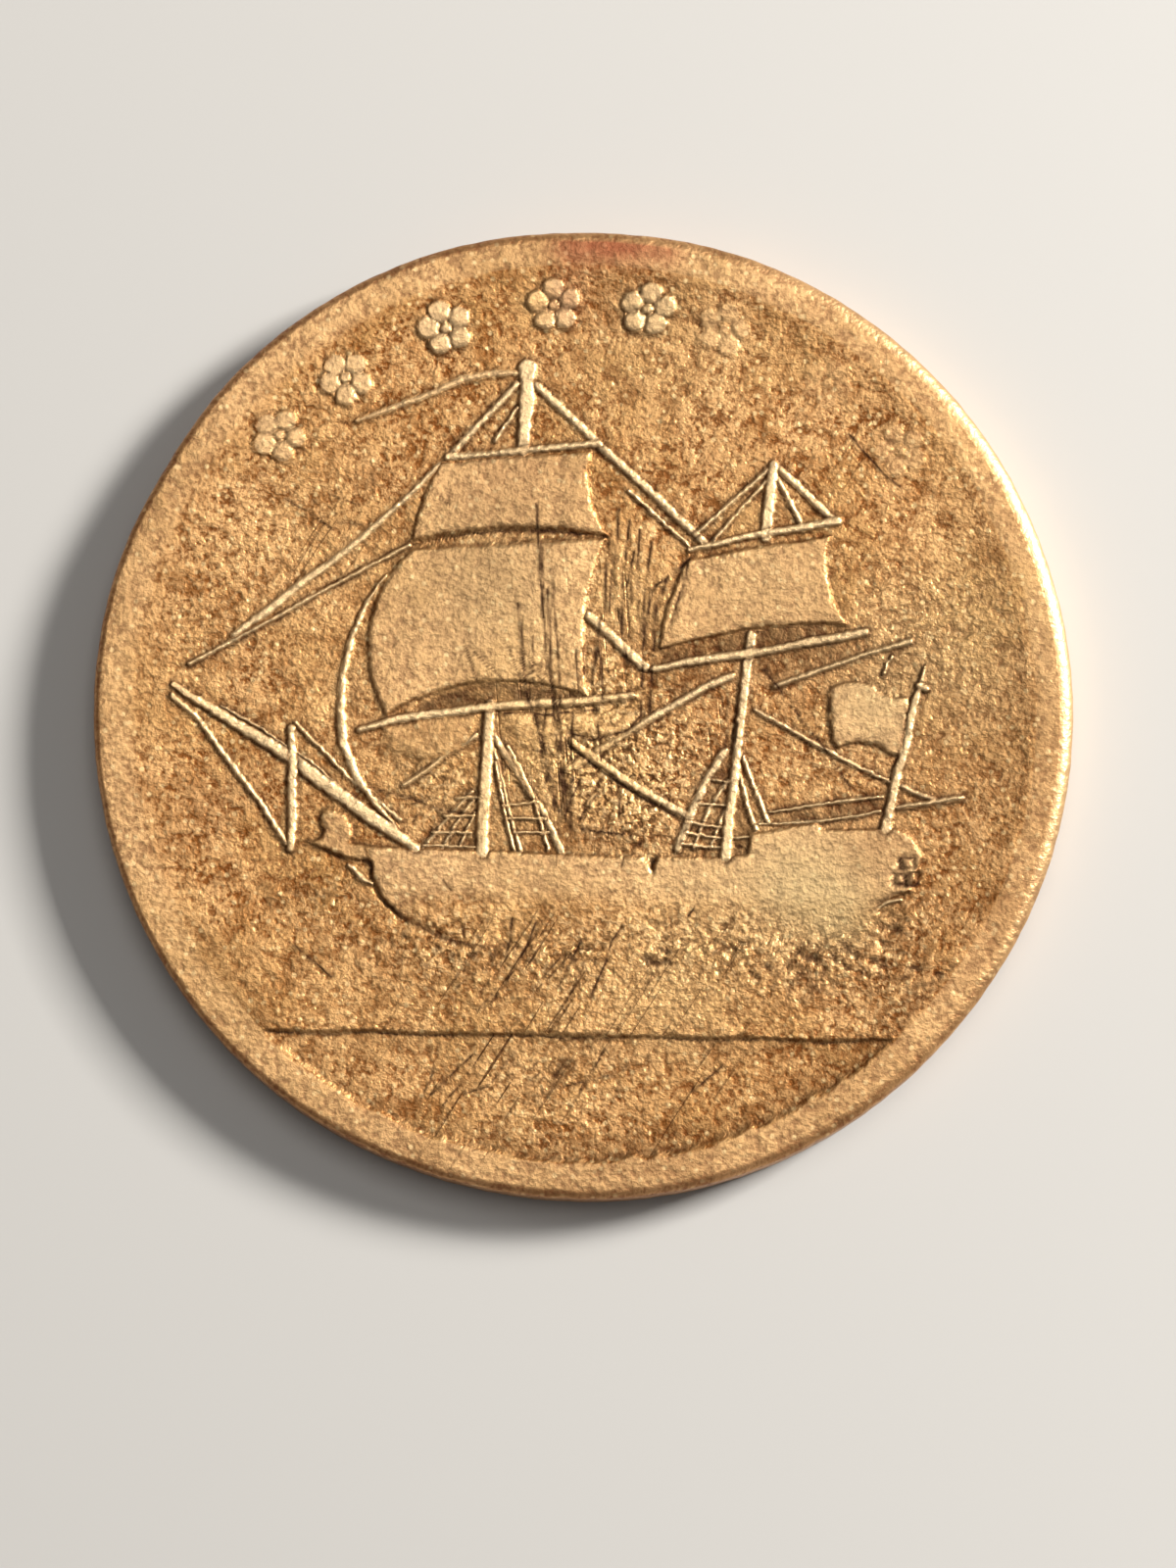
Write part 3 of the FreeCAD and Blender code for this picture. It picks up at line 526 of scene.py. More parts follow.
def tone_ship_side(relief):
    """The stained and the pale patches, the pitted ground round the masts and under the hull, where
    it is scored, and the red spot on the rim."""
    relief.patches(relief.stain, [
        (6.5, 1.3, 2.3, 0.34), (9.5, -3.2, 2.2, 0.34), (11.2, 0.0, 1.8, 0.2), (13.3, -1.0, 2.2, 0.18),
        (8.2, -7.6, 1.8, 0.24), (9.6, -5.8, 1.2, 0.25), (12.0, -6.0, 1.2, 0.34),
        (6.6, -10.7, 1.8, 0.34), (2.5, -11.8, 2.0, 0.2), (-4.5, -12.2, 2.0, 0.1), (0.0, 12.3, 2.2, 0.1),
        (7.8, 7.4, 1.6, 0.1), (3.0, 6.2, 1.2, 0.18), (-3.0, 4.2, 1.8, 0.16), (-2.0, 6.6, 1.6, 0.32),
        (8.2, 0.0, 1.0, 0.1), (6.6, -4.8, 1.5, 0.1), (-10.5, -3.1, 1.4, 0.36), (-9.3, 1.2, 1.0, 0.14),
        (-7.8, -6.0, 1.8, 0.16), (-12.0, 0.6, 1.8, -0.22), (-8.6, 3.4, 2.4, -0.2),
        (-7.5, 0.4, 1.4, -0.26), (-7.5, 8.0, 1.3, -0.14), (-7.0, -7.9, 2.2, -0.2),
        (-12.0, -6.2, 1.2, -0.22), (-10.4, -7.9, 1.2, -0.2), (-0.8, -1.2, 1.3, -0.42),
        (1.6, -1.4, 1.6, -0.25), (0.8, 0.0, 0.8, -0.35), (1.2, 3.6, 1.4, -0.48),
        (10.6, 7.6, 1.0, -0.25), (0.5, -8.9, 3.0, -0.22), (6.5, -9.0, 1.8, -0.25),
        (4.6, 6.1, 0.8, -0.15), (-4.6, -1.6, 1.2, -0.4), (-2.5, -11.3, 3.0, -0.16),
        (2.0, -7.4, 2.2, -0.2), (12.0, 3.5, 1.5, -0.2), (-3.5, -3.2, 1.2, -0.2), (1.3, -2.6, 1.0, -0.2),
        (-6.0, 4.5, 1.1, -0.26), (-2.2, 1.4, 1.3, -0.3), (-0.8, -2.3, 1.2, -0.22),
        (3.0, -0.7, 1.4, 0.28), (9.2, 1.6, 1.0, 0.3), (-9.0, -3.8, 1.2, -0.32),
        (3.8, -10.5, 2.0, -0.06), (-2.4, 3.0, 2.0, 0.18), (5.2, 4.0, 1.8, 0.12), (-4.0, -5.0, 1.8, 0.1),
        (8.0, -4.4, 1.6, 0.1), (13.6, 2.0, 1.4, 0.16), (13.3, -3.5, 1.6, 0.16), (12.6, 5.8, 1.2, 0.12),
        (-10.5, 3.4, 2.2, 0.08), (0.5, -13.7, 2.8, 0.2), (0.0, 13.8, 2.2, 0.22),
        (-1.5, 12.0, 0.7, -0.8), (4.6, -12.0, 1.6, -0.16), (-2.4, -6.0, 1.2, -0.26),
        (-0.7, -0.6, 1.9, -0.42), (9.2, -4.6, 0.8, -0.36), (13.6, 0.0, 1.4, 0.03),
        (-13.4, 0.0, 1.2, -0.03), (-2.6, -3.1, 1.1, -0.26), (-1.5, 2.8, 0.8, -0.25),
        (1.5, 2.8, 0.8, -0.25), (4.5, 7.6, 0.7, 0.2), (4.5, 5.9, 0.6, -0.3), (6.0, 2.8, 0.7, -0.22),
        (7.5, 0.0, 0.7, -0.18), (6.0, 10.5, 0.7, -0.22), (4.5, -3.0, 0.7, -0.25),
        (3.1, -1.2, 0.8, 0.25), (-1.3, 5.8, 0.7, -0.14),
    ])
    relief.patches(relief.pit, [
        (-0.5, -1.2, 1.8, 0.8), (2.0, -1.0, 1.8, 0.8), (1.5, -2.9, 1.5, 0.75), (-4.0, -2.6, 1.2, 0.5),
        (7.0, -1.2, 1.4, 0.4), (0.8, 1.2, 1.0, 0.6), (1.2, 3.6, 1.1, 0.4), (-7.5, -5.7, 1.2, 0.4),
        (9.7, -5.9, 1.0, 0.4), (-0.5, -7.1, 1.5, 0.5), (3.0, -6.8, 1.5, 0.5), (6.3, -7.0, 1.5, 0.3),
        (10.0, 2.5, 2.5, 0.45), (9.0, -8.0, 1.5, 0.4), (-5.0, -7.0, 2.0, 0.2), (-9.0, 6.0, 2.5, 0.28),
        (-1.0, -11.0, 3.0, 0.4), (11.0, -3.0, 2.0, 0.3), (6.0, 8.5, 2.5, 0.15), (-10.5, 2.5, 2.5, 0.3),
        (-4.6, -1.6, 0.9, 0.4), (-1.5, 1.4, 1.0, 0.5), (-3.0, -5.6, 1.6, 0.35), (1.5, -5.9, 1.6, 0.4),
        (4.5, -7.0, 1.2, 0.3), (7.6, -6.8, 1.2, 0.3), (-4.0, -6.9, 1.0, 0.4), (5.5, -5.6, 1.5, 0.25),
    ])
    relief.patches(relief.scored, [
        (1.2, 5.0, 1.0, 0.5), (-0.9, 0.2, 1.6, 0.8), (-1.0, -1.8, 1.3, 1.0), (1.4, 3.2, 1.4, 0.6),
        (4.3, -0.6, 0.8, 0.9), (0.3, 1.8, 1.2, 0.7), (0.8, -3.0, 1.2, 0.6), (-1.4, 3.5, 1.2, 0.5),
        (-1.5, -7.6, 2.0, -0.9), (-3.0, -10.8, 2.4, -1.0), (2.5, -10.6, 2.2, -0.8),
        (-7.5, 4.5, 1.5, -0.5), (3.5, -7.3, 1.6, -0.6), (8.3, 7.5, 1.2, -0.5),
    ])
    relief.patches(relief.hue, [
        (-0.6, 13.7, 0.6, 0.8), (0.4, 13.8, 0.7, 1.0), (1.4, 13.8, 0.7, 1.0), (2.3, 13.6, 0.5, 0.7),
        (-0.7, 12.1, 0.8, 0.6), (3.3, -5.3, 1.5, -0.3), (2.0, 11.0, 3.0, -0.3), (-2.5, 3.5, 2.5, -0.45),
        (6.3, -5.0, 1.7, -1.0), (7.6, -5.8, 1.0, -0.6), (8.3, 0.3, 0.9, -0.4), (5.0, 3.8, 1.8, -0.3),
        (3.0, -8.4, 1.6, -0.3), (10.5, 2.0, 3.0, -0.5),
    ])


def draw_ornaments(relief):
    """Eight rosettes on the legend ring: five round petals about a centre, some nearly worn away."""
    petals, ring, petal_ring, petal_reach = 5, 12.0, 0.47, 0.34
    worn = {138.3: 0.75, 126.0: 0.85, 110.4: 1.0, 94.9: 1.0, 81.8: 0.95, 70.9: 0.5, 54.6: 0.35,
            40.7: 0.45}
    for degrees, left in worn.items():
        middle = np.array(ring_place(ring, degrees))
        spots = relief.near(middle[None, :], 1.3)
        x, y = relief.x[spots] - middle[0], relief.y[spots] - middle[1]
        gap = np.hypot(x, y) - 0.17
        for petal in range(petals):
            px, py = ring_place(petal_ring, degrees + petal * 360 / petals)
            gap = np.minimum(gap, np.hypot(x - px, y - py) - petal_reach)
        angle = (np.degrees(np.arctan2(y, x)) - degrees) % (360 / petals) - 180 / petals
        split = np.hypot(x, y) * np.abs(np.sin(np.radians(angle)))
        relief.rise(spots, gap, 0.1 * left, 0.12, 0.2, 0.7 * left, 0.25 + 0.5 * left)
        eye = np.abs(np.hypot(x, y) - 0.2)
        seam = np.where(gap < 0, np.exp(-(split / 0.05) ** 2), 0) * smooth(0.15, 0.3, np.hypot(x, y))
        groove = np.maximum(seam, np.exp(-(eye / 0.05) ** 2)) * left
        relief.height[spots] -= 0.045 * groove
        relief.darken(0.6 * groove, spots)


def ship_place(x, y):
    """Where in the ship's drawing a place of the field lies: the ship was struck a little low, and
    its tall side leans, by the first and second powers of the place.  The eight numbers
    follow least-squares fits to shifts that were measured at 23 places of the ship."""
    across = 0.0048 * y - 0.0073 * x + 0.0022 * x * y - 0.0006 * x * x - 0.0008 * y * y
    down = 0.2 + 0.0043 * x + 0.0153 * y
    return (x - across) / DRAWING_SCALE, (y + down) / DRAWING_SCALE


def ship_side(x, y, across, along):
    """The whole relief of the ship side, on its field.  The raised shapes waver by across and along;
    the cuts and scratches are straight."""
    relief = Relief(*ship_place(x + across, y + along))
    draw_sea(relief)
    draw_rigging(relief)
    draw_sails(relief)
    draw_hull(relief)
    draw_spars(relief)
    draw_ensign(relief)
    draw_hollows(relief)
    relief.x, relief.y = ship_place(x, y)
    draw_dark_lines(relief)
    draw_scuffs(relief)
    relief.x, relief.y = (x + across) / DRAWING_SCALE, (y + along + 0.08) / DRAWING_SCALE
    draw_ornaments(relief)
    tone_ship_side(relief)
    return relief


# ---------------------------------------------------------------- the wreath side

def draw_wreath(relief):
    """Two laurel branches with pointed, veined leaves in pairs, and a crossed tie."""
    ring, foot, start, end, pairs = 9.6, 6.0, 14.0, 168.0, 12
    length, width, lean = 2.5, 0.85, 26.0
    for side in (-1, 1):
        middle = -90 + side * (foot + end) / 2
        stem = arc_points(ring_place(ring, -90 + side * foot), ring_place(ring, middle),
                          ring_place(ring, -90 + side * end), 40)
        relief.line([(px, py, 0.24) for px, py in stem], 0.085, dirt=0.6)
        for pair in range(pairs):
            degrees = -90 + side * (start + pair * (end - start) / pairs)
            fx, fy = ring_place(ring, degrees)
            for turn in (-lean, lean):
                heading = math.radians(degrees + side * 90 + turn)
                ahead = np.array([math.cos(heading), math.sin(heading)])
                aside = np.array([-ahead[1], ahead[0]])
                foot_place = np.array([fx, fy])
                tip = foot_place + ahead * length
                bulge = [foot_place + ahead * length / 2 + aside * width / 2 * way for way in (1, -1)]
                relief.plate(outline(tuple(foot_place), (tuple(bulge[0]), tuple(tip)),
                                     (tuple(bulge[1]), tuple(foot_place))),
                             0.095, wall=0.12, dome=0.35, dirt=0.6)
                vein = [foot_place + ahead * length * share for share in (0.12, 0.85)]
                relief.cut(even(0.06, *map(tuple, vein)), 0.02, 0.4)
    for side in (-1, 1):
        relief.line(even(0.34, (side * 1.0, -9.4), (side * -1.7, -10.4)), 0.095)
    relief.plate(outline((-0.4, -9.77), ((0.0, -9.37), (0.4, -9.77)),
                         ((0.0, -10.17), (-0.4, -9.77))), 0.11)


def draw_anchor(relief):
    """An anchor: ring, stock, shank, curved arms and two flukes."""
    relief.plate(outline((-4.0, -1.6), ((0.0, -5.6), (4.0, -1.6)), (3.6, -1.6),
                         ((0.0, -4.6), (-3.6, -1.6))), 0.11, dome=0.3)
    for side in (-1, 1):
        relief.plate(outline((side * 4.55, -2.1), (side * 3.75, -0.7), (side * 3.0, -2.3)), 0.11,
                     dome=0.3)
    relief.line(even(0.6, (0.0, 4.4), (0.0, -5.1)), 0.12)
    relief.line(even(0.5, (-2.3, 3.3), (2.3, 3.3)), 0.12)
    spots = relief.near(np.array([(0.0, 5.0)]), 1.5)
    gap = np.abs(np.hypot(relief.x[spots], relief.y[spots] - 5.0) - 0.58) - 0.17
    relief.rise(spots, gap, 0.11, 0.09, 0.2, 0.7, 0.8)


def wreath_side(x, y, across, along):
    """The whole relief of the wreath side, on its field."""
    relief = Relief(-(x + across) / DRAWING_SCALE, (y + along) / DRAWING_SCALE)
    draw_wreath(relief)
    draw_anchor(relief)
    relief.hue -= 0.3
    relief.stain += 0.22 * ripple(relief.x, relief.y, 7.0, 23)
    relief.pit += 0.3 * smooth(0.2, 1.0, ripple(relief.x, relief.y, 5.0, 24))
    draw = np.random.default_rng(19)
    for _ in range(140):
        x0, y0 = draw.uniform(-9, 9, 2)
        angle, half = draw.uniform(0, math.tau), draw.uniform(0.2, 1.1)
        if math.hypot(x0, y0) + half < DRAWN_REACH:
            reach = (half * math.cos(angle), half * math.sin(angle))
            relief.cut([(x0 - reach[0], y0 - reach[1], 0.02), (x0, y0, 0.035),
                        (x0 + reach[0], y0 + reach[1], 0.02)], draw.uniform(0.006, 0.014), 0.35)
    return relief


# ---------------------------------------------------------------- wear, rim and outline

def edge_radius(angle):
    """Radius of the outline: a circle less a few shallow flats, each a bell curve of the angle with
    its middle and width in degrees and its depth, and with fine waves round it."""
    flats = ((90, 13, 0.09), (150, 9, 0.09), (255, 18, 0.06), (20, 10, 0.03), (320, 14, 0.03))
    radius = np.full_like(angle, RADIUS)
    for middle, width, depth in flats:
        turn = (np.degrees(angle) - middle + 180) % 360 - 180
        radius -= depth * np.exp(-(turn / width) ** 2)
    for waves, phase in ((37, 0.3), (61, 1.7), (94, 4.1), (133, 2.2)):
        radius += OUTLINE_WAVE * np.sin(waves * angle + phase)
    return radius - OUTLINE_DRAWN_IN


def edge_round(angle):
    """How far in the worn corner reaches: most at one flank, where the token was rubbed more."""
    return EDGE_ROUND + EDGE_UNEVEN * np.cos(angle - HIGHLIT_AND_WORN_FLANK)


def rim_share(x, y, soft_side):
    """The rim's height as a share, and the painted shade in its inner corner.  The inner border is
    scalloped and crisp a quarter turn on from soft_side, in degrees, and round soft_side it fades,
    where wear has run field and rim together."""
    radius, angle = np.hypot(x, y), np.arctan2(y, x)
    turn = (np.degrees(angle) - soft_side + 180) % 360 - 180
    soft = np.exp(-(turn / 62) ** 4)
    firm = 0.25 + 0.75 * np.exp(-((turn - 95) / 55) ** 4)
    scallop = np.abs(np.sin(angle * 34 + 1.5 * ripple(x, y, 3.0, 33)))
    inner = ((RADIUS - RIM_WIDTH) + 0.04 * ripple(x, y, 2.4, 31) + 0.02 * ripple(x, y, 0.8, 32)
             + 0.07 * scallop * firm)
    step = 0.75 * firm
    crisp = ((1 - step) * smooth(inner - 1.8, inner + 0.5, radius)
             + step * smooth(inner - 0.07, inner + 0.1, radius))
    faded = smooth(9.6, 13.9, radius)
    # painted shade along the rim's inner corner: a narrow dark line at the step and a broad soft band
    # inside it
    corner = np.exp(-((radius - inner + 0.1) / 0.08) ** 2) * 0.5 * firm
    corner += np.exp(-((radius - inner + 0.4) / 0.35) ** 2) * 0.26 * firm
    return crisp * (1 - soft) + faded * soft, corner * (1 - soft)


def wear(relief, x, y, seed):
    """Rubs the tops: heights run together near the top, and broad unrest lies over everything."""
    top = 0.15
    uneven = (1.0 + 0.1 * ripple(x, y, 2.2, seed + 2) + 0.07 * ripple(x, y, 0.7, seed + 3)
              + 0.1 * ripple(x, y, 0.26, seed + 10))
    raised = relief.height * uneven
    relief.height = np.where(raised > 0, top * np.tanh(raised / top * 1.25) / 1.02, raised)
    relief.height += 0.006 * ripple(x, y, 3.4, seed) + 0.0035 * ripple(x, y, 1.3, seed + 1)
    relief.dirt *= np.clip(0.95 + 0.3 * ripple(x, y, 1.1, seed + 4)
                           + 0.15 * ripple(x, y, 0.5, seed + 5), 0.3, 1.0)


def side_surface(x, y, draw_side, soft_side, seed):
    """Height from the rim's top, and the tones, at the places x, y of one side."""
    drift = 0.02 * ripple(x, y, 2.2, seed + 6) + 0.016 * ripple(x, y, 0.33, seed + 7)
    lift = 0.02 * ripple(x, y, 2.1, seed + 8) + 0.016 * ripple(x, y, 0.33, seed + 9)
    relief = draw_side(x, y, drift, lift)
    wear(relief, x, y, seed)
    share, corner = rim_share(x, y, soft_side)
    fading = 1 - smooth(0.75, 1.0, share)
    height = RIM_HEIGHT * share + relief.height * fading
    height = np.minimum(height, RIM_HEIGHT - 0.002) - RIM_HEIGHT
    dirt = np.maximum(relief.dirt * fading, corner)
    rub = np.maximum(relief.rub * fading, 0.5 * smooth(0.6, 1.0, share))
    return (height, np.clip(dirt, 0, 1), np.clip(rub, 0, 1), relief.stain,
            np.clip(relief.pit, 0, 1), relief.hue, relief.scored)


# ---------------------------------------------------------------- mesh

FINE = 1024                  # cells along the side of the finest grid
LARGEST = 4                  # a patch is at most 2 to this power fine cells wide
BORDER = 2                   # patches along the outline are 2 to this power cells wide
FINEST_TOLERANCE = 0.007     # how far a patch may lie from the relief, where the budget allows
TRIANGLE_BUDGET = 184000     # for the face of one half
TRIANGLES_PER_PATCH = 2.4    # two, and more beside a finer patch
DIRT_AND_SHADE_DETAIL = 0.03           # height that full dirt and painted shade counts as, so that their lines stay sharp
EDGE_ROWS = 5
BAKE_MARGIN = 0.1            # left free round the flattened mesh in its texture square
PARKED_SIZE = 0.03           # half of the small square that the closing disc gets there
PARKED_PLACE = 0.04          # and the middle of that square, across and up
TONES = ("dirt", "rub", "stain", "pit", "hue", "scored")
GRID_NUMBERS = np.arange((FINE + 1) ** 2).reshape(FINE + 1, FINE + 1)   # of the finest grid's points


def disc_from_square(a, b):
    """Places of the unit disc for places of the square from -1 to 1: a square ring becomes a
    circle, so the nearer side gives the radius and the position along it the angle."""
    wide = np.abs(a) >= np.abs(b)
    with np.errstate(divide="ignore", invalid="ignore"):
        angle = np.where(wide, math.pi / 4 * b / a, math.pi / 2 - math.pi / 4 * a / b)
    radius = np.where(wide, a, b)
    angle = np.where(radius == 0, 0.0, angle)
    return radius * np.cos(angle), radius * np.sin(angle)


def by_patch(cells, size):
    """The cells as blocks this wide: block row, row within it, block column, column within it."""
    return cells.reshape(FINE // size, size, FINE // size, size)


def over_cells(patches, size):
    """One value for each patch, repeated over all its cells."""
    return np.repeat(np.repeat(patches, size, axis=0), size, axis=1)


def patch_error(values, size):
    """For each patch this many cells wide, how far its values lie from its corners' blend."""
    corners = values[::size, ::size]
    share = np.arange(size)[None, :, None] / size
    tall = (corners[:-1, None, :] * (1 - share) + corners[1:, None, :] * share)
    tall = tall.reshape(-1, corners.shape[1])
    share = np.arange(size)[None, None, :] / size
    blend = (tall[:, :-1, None] * (1 - share) + tall[:, 1:, None] * share).reshape(FINE, FINE)
    return by_patch(np.abs(values[:FINE, :FINE] - blend), size).max(axis=(1, 3))


def balanced(level):
    """Splits patches until none is more than twice as wide as the patch next to it."""
    changed = True
    while changed:
        changed = False
        for power in range(LARGEST, 1, -1):
            lowest = level.copy()
            lowest[1:] = np.minimum(lowest[1:], level[:-1])
            lowest[:-1] = np.minimum(lowest[:-1], level[1:])
            lowest[:, 1:] = np.minimum(lowest[:, 1:], level[:, :-1])
            lowest[:, :-1] = np.minimum(lowest[:, :-1], level[:, 1:])
            least = by_patch(lowest, 2 ** power).min(axis=(1, 3))
            split = over_cells(least < power - 1, 2 ** power) & (level == power)
            if split.any():
                level[split] = power - 1
                changed = True
    return level


def patch_levels(detail):
    """For each fine cell, the power of two of the patch it belongs to.  A patch is as wide as the
    tolerance allows, and the tolerance is the smallest step that keeps the triangles in budget."""
    errors = [patch_error(detail, 2 ** power) for power in range(1, LARGEST + 1)]
    cell = np.arange(FINE)
    from_edge = np.minimum(cell, FINE - 1 - cell)
    from_edge = np.minimum(from_edge[:, None], from_edge[None, :])
    tolerance = FINEST_TOLERANCE
    while True:
        level = np.zeros((FINE, FINE), np.int8)
        for power, error in enumerate(errors, start=1):
            whole = by_patch(level == power - 1, 2 ** power).all(axis=(1, 3))
            level[over_cells((error < tolerance) & whole, 2 ** power)] = power
        outer = from_edge < 2 ** LARGEST
        level[outer] = np.minimum(level[outer], BORDER)
        level[(from_edge < 2 ** (BORDER + 1)) & (level < BORDER - 1)] = BORDER - 1
        level[from_edge < 2 ** BORDER] = BORDER
        level = balanced(level)
        if (0.25 ** level.astype(float)).sum() * TRIANGLES_PER_PATCH < TRIANGLE_BUDGET:
            return level
        tolerance *= 1.06


def patch_faces(level):
    """Triangles over the patches, by number of fine grid point.  A patch whose neighbours are no
    finer is two triangles.  Any other also has the middle points of its cut sides, and is a fan
    about the first of them to all the rest of its border.  On the square's diagonals, where the
    disc turns a corner into a straight line, the fan is about the patch's centre and the two
    triangles meet along the diagonal."""
    padded = np.pad(level, 1, constant_values=LARGEST)
    triangles = []
    for power in range(LARGEST + 1):
        size = 2 ** power
        half = size // 2
        rows, columns = np.nonzero(level[::size, ::size] == power)
        rows, columns = rows * size, columns * size
        corner, middle = ([GRID_NUMBERS[rows + down, columns + along] for down, along in places]
                          for places in (((0, 0), (0, size), (size, size), (size, 0)),
                                         ((0, half), (half, size), (size, half), (half, 0))))
        beside = [np.full(len(rows), LARGEST) for _ in range(4)]
        for step in range(1, size + 1):
            places = ((0, step), (step, size + 1), (size + 1, step), (step, 0))
            beside = [np.minimum(old, padded[rows + down, columns + along])
                      for old, (down, along) in zip(beside, places)]
        cut = [side < power for side in beside]
        falling = rows + columns + size == FINE
        first = np.where(np.any(cut, axis=0), np.argmax(cut, axis=0), -1)
        first[(first >= 0) & (falling | (rows == columns))] = 4
        for here, turn in ((first < 0) & ~falling, 0), ((first < 0) & falling, 1):
            a, b, c, d = (corner[(side + turn) % 4][here] for side in range(4))
            triangles += [np.stack([a, b, c], 1), np.stack([a, c, d], 1)]
        for start, hub in enumerate([*middle, GRID_NUMBERS[rows + half, columns + half]]):
            for side in range(4):
                if side == start:
                    continue
                whole = (first == start) & ~cut[side]
                halved = (first == start) & cut[side]
                before, after = corner[side], corner[(side + 1) % 4]
                for here, one, two in ((whole, before, after), (halved, before, middle[side]),
                                       (halved, middle[side], after)):
                    triangles.append(np.stack([hub[here], one[here], two[here]], 1))
    return np.concatenate(triangles)


def outline_walk():
    """Numbers of the fine grid points round the square's border, one for each border patch."""
    step = 2 ** BORDER
    return np.concatenate([GRID_NUMBERS[0, :-1:step], GRID_NUMBERS[:-1:step, -1],
                           GRID_NUMBERS[-1, :0:-step], GRID_NUMBERS[:0:-step, 0]])


def worn_edge(border, outward, corner, way):
    """Rings of points from the face's border round the worn corner, which is a quarter of an
    ellipse, corner wide and EDGE_DEPTH deep, and then straight on to the middle plane."""
    rings = []
    for turn in np.linspace(0, math.pi / 2, EDGE_ROWS + 1)[1:]:
        place = border[:, :2] + outward * corner[:, None] * math.sin(turn)
        drop = EDGE_DEPTH * (1 - math.cos(turn))
        rings.append(np.column_stack([place, border[:, 2] - way * drop]))
    rings.append(np.column_stack([rings[-1][:, :2], np.full(len(border), MIDDLE)]))
    return rings


def mesh_of(name, points, groups):
    """A mesh of points in millimetres and groups of faces, each group with one number of corners.
    All are smooth but the last group.  Also returns the point at each corner."""
    corners = np.concatenate([group.ravel() for group in groups])
    sizes = np.concatenate([np.full(len(group), group.shape[1]) for group in groups])
    mesh = bpy.data.meshes.new(name)
    mesh.vertices.add(len(points))
    mesh.vertices.foreach_set("co", (points * MM).ravel())
    mesh.loops.add(len(corners))
    mesh.loops.foreach_set("vertex_index", corners)
    mesh.polygons.add(len(sizes))
    mesh.polygons.foreach_set("loop_start", np.concatenate([[0], np.cumsum(sizes)[:-1]]))
    mesh.polygons.foreach_set("use_smooth", np.arange(len(sizes)) < len(sizes) - len(groups[-1]))
    return mesh, corners


def lay_flat(mesh, points, below, corners, parked):
    """The map for baking: the face as it lies, with the edge opened outwards round it by how far
    it is below the face's border, and the last corners, the closing disc's, parked small."""
    flat = np.hypot(points[:, 0], points[:, 1])
    stretched = (flat + below) / np.maximum(flat, 1e-6)
    span = 2 * (RADIUS + MIDDLE + BAKE_MARGIN)
    uv = (points[:, :2] * stretched[:, None] / span + 0.5)[corners]
    uv[-parked:] = points[corners[-parked:], :2] * PARKED_SIZE / RADIUS + PARKED_PLACE
    mesh.uv_layers.new(name="OFBake").data.foreach_set("uv", uv.ravel())


def token_half(name, draw_side, soft_side, seed, upwards):
    """One half of the token: a face of adaptive patches, rows of quads round the worn corner and
    down the edge to the middle plane, and a flat closing disc.  The face is z = level of the rim
    + height(x, y), and its border is edge_radius(angle) less edge_round(angle)."""
    ticks = np.linspace(-1, 1, FINE + 1)
    unit_x, unit_y = (unit.ravel() for unit in disc_from_square(*np.meshgrid(ticks, ticks)))
    angle = np.arctan2(unit_y, unit_x)
    corner = edge_round(angle)
    reach = edge_radius(angle) - corner
    x, y = unit_x * reach, unit_y * reach
    height, *tones = side_surface(x, y, draw_side, soft_side, seed)
    level = patch_levels((height + DIRT_AND_SHADE_DETAIL * tones[0]).reshape(GRID_NUMBERS.shape))
    used, faces = np.unique(patch_faces(level), return_inverse=True)
    faces = faces.reshape(-1, 3)
    way = 1 if upwards else -1
    face_points = np.column_stack([x, y, way * height + (THICKNESS if upwards else 0)])[used]

    walk = outline_walk()
    rim = np.searchsorted(used, walk)
    outward = np.stack([np.cos(angle[walk]), np.sin(angle[walk])], axis=1)
    edge = worn_edge(face_points[rim], outward, corner[walk], way)
    points = np.concatenate([face_points, *edge, [[0.0, 0.0, MIDDLE]]])
    count, first_ring, hub = len(walk), len(used), len(points) - 1
    rings = [rim] + [first_ring + k * count + np.arange(count) for k in range(len(edge))]
    quads = np.concatenate([
        np.stack([upper, lower, np.roll(lower, -1), np.roll(upper, -1)], axis=1)
        for upper, lower in zip(rings[:-1], rings[1:])])
    last = rings[-1]
    closing = np.stack([np.roll(last, -1), last, np.full(count, hub)], axis=1)
    groups = [group if upwards else group[:, ::-1] for group in (faces, quads, closing)]
    mesh, corners = mesh_of(name, points, groups)

    # painted highlight: the edge is rubbed paler and smoother towards the flank that faces the key
    # light, and more pitted away from it
    bright = np.clip(np.cos(np.arctan2(outward[:, 1], outward[:, 0]) - HIGHLIT_AND_WORN_FLANK), 0, 1)
    plain = np.zeros(count)
    edge_tones = (plain + 0.08, 0.45 + 0.4 * bright ** 4, plain, plain, 0.35 - 0.35 * bright, plain)
    for label, on_face, on_edge in zip(TONES, tones, edge_tones):
        values = np.concatenate([on_face[used], np.tile(on_edge, len(edge)), [0.0]])
        mesh.attributes.new(label, "FLOAT", "POINT").data.foreach_set("value", values)
    below = np.zeros(len(points))
    below[first_ring:hub] = np.abs(points[first_ring:hub, 2]
                                   - np.tile(face_points[rim, 2], len(edge)))
    lay_flat(mesh, points, below, corners, closing.size)

    mesh.update(calc_edges=True)
    mesh.validate()
    ends = np.empty(2 * len(mesh.edges), np.int32)
    mesh.edges.foreach_get("vertices", ends)
    ends = ends.reshape(-1, 2)
    mesh.edges.foreach_set("use_edge_sharp", ((ends >= last[0]) & (ends < hub)).all(axis=1))
    piece = bpy.data.objects.new(name, mesh)
    bpy.context.scene.collection.objects.link(piece)
    return piece


# ---------------------------------------------------------------- materials

def linear(hex_colour):
    """A linear colour with alpha from an sRGB hex value."""
    parts = [int(hex_colour[i:i + 2], 16) / 255 for i in (1, 3, 5)]
    return (*((p / 12.92 if p <= 0.04045 else ((p + 0.055) / 1.055) ** 2.4) for p in parts), 1.0)


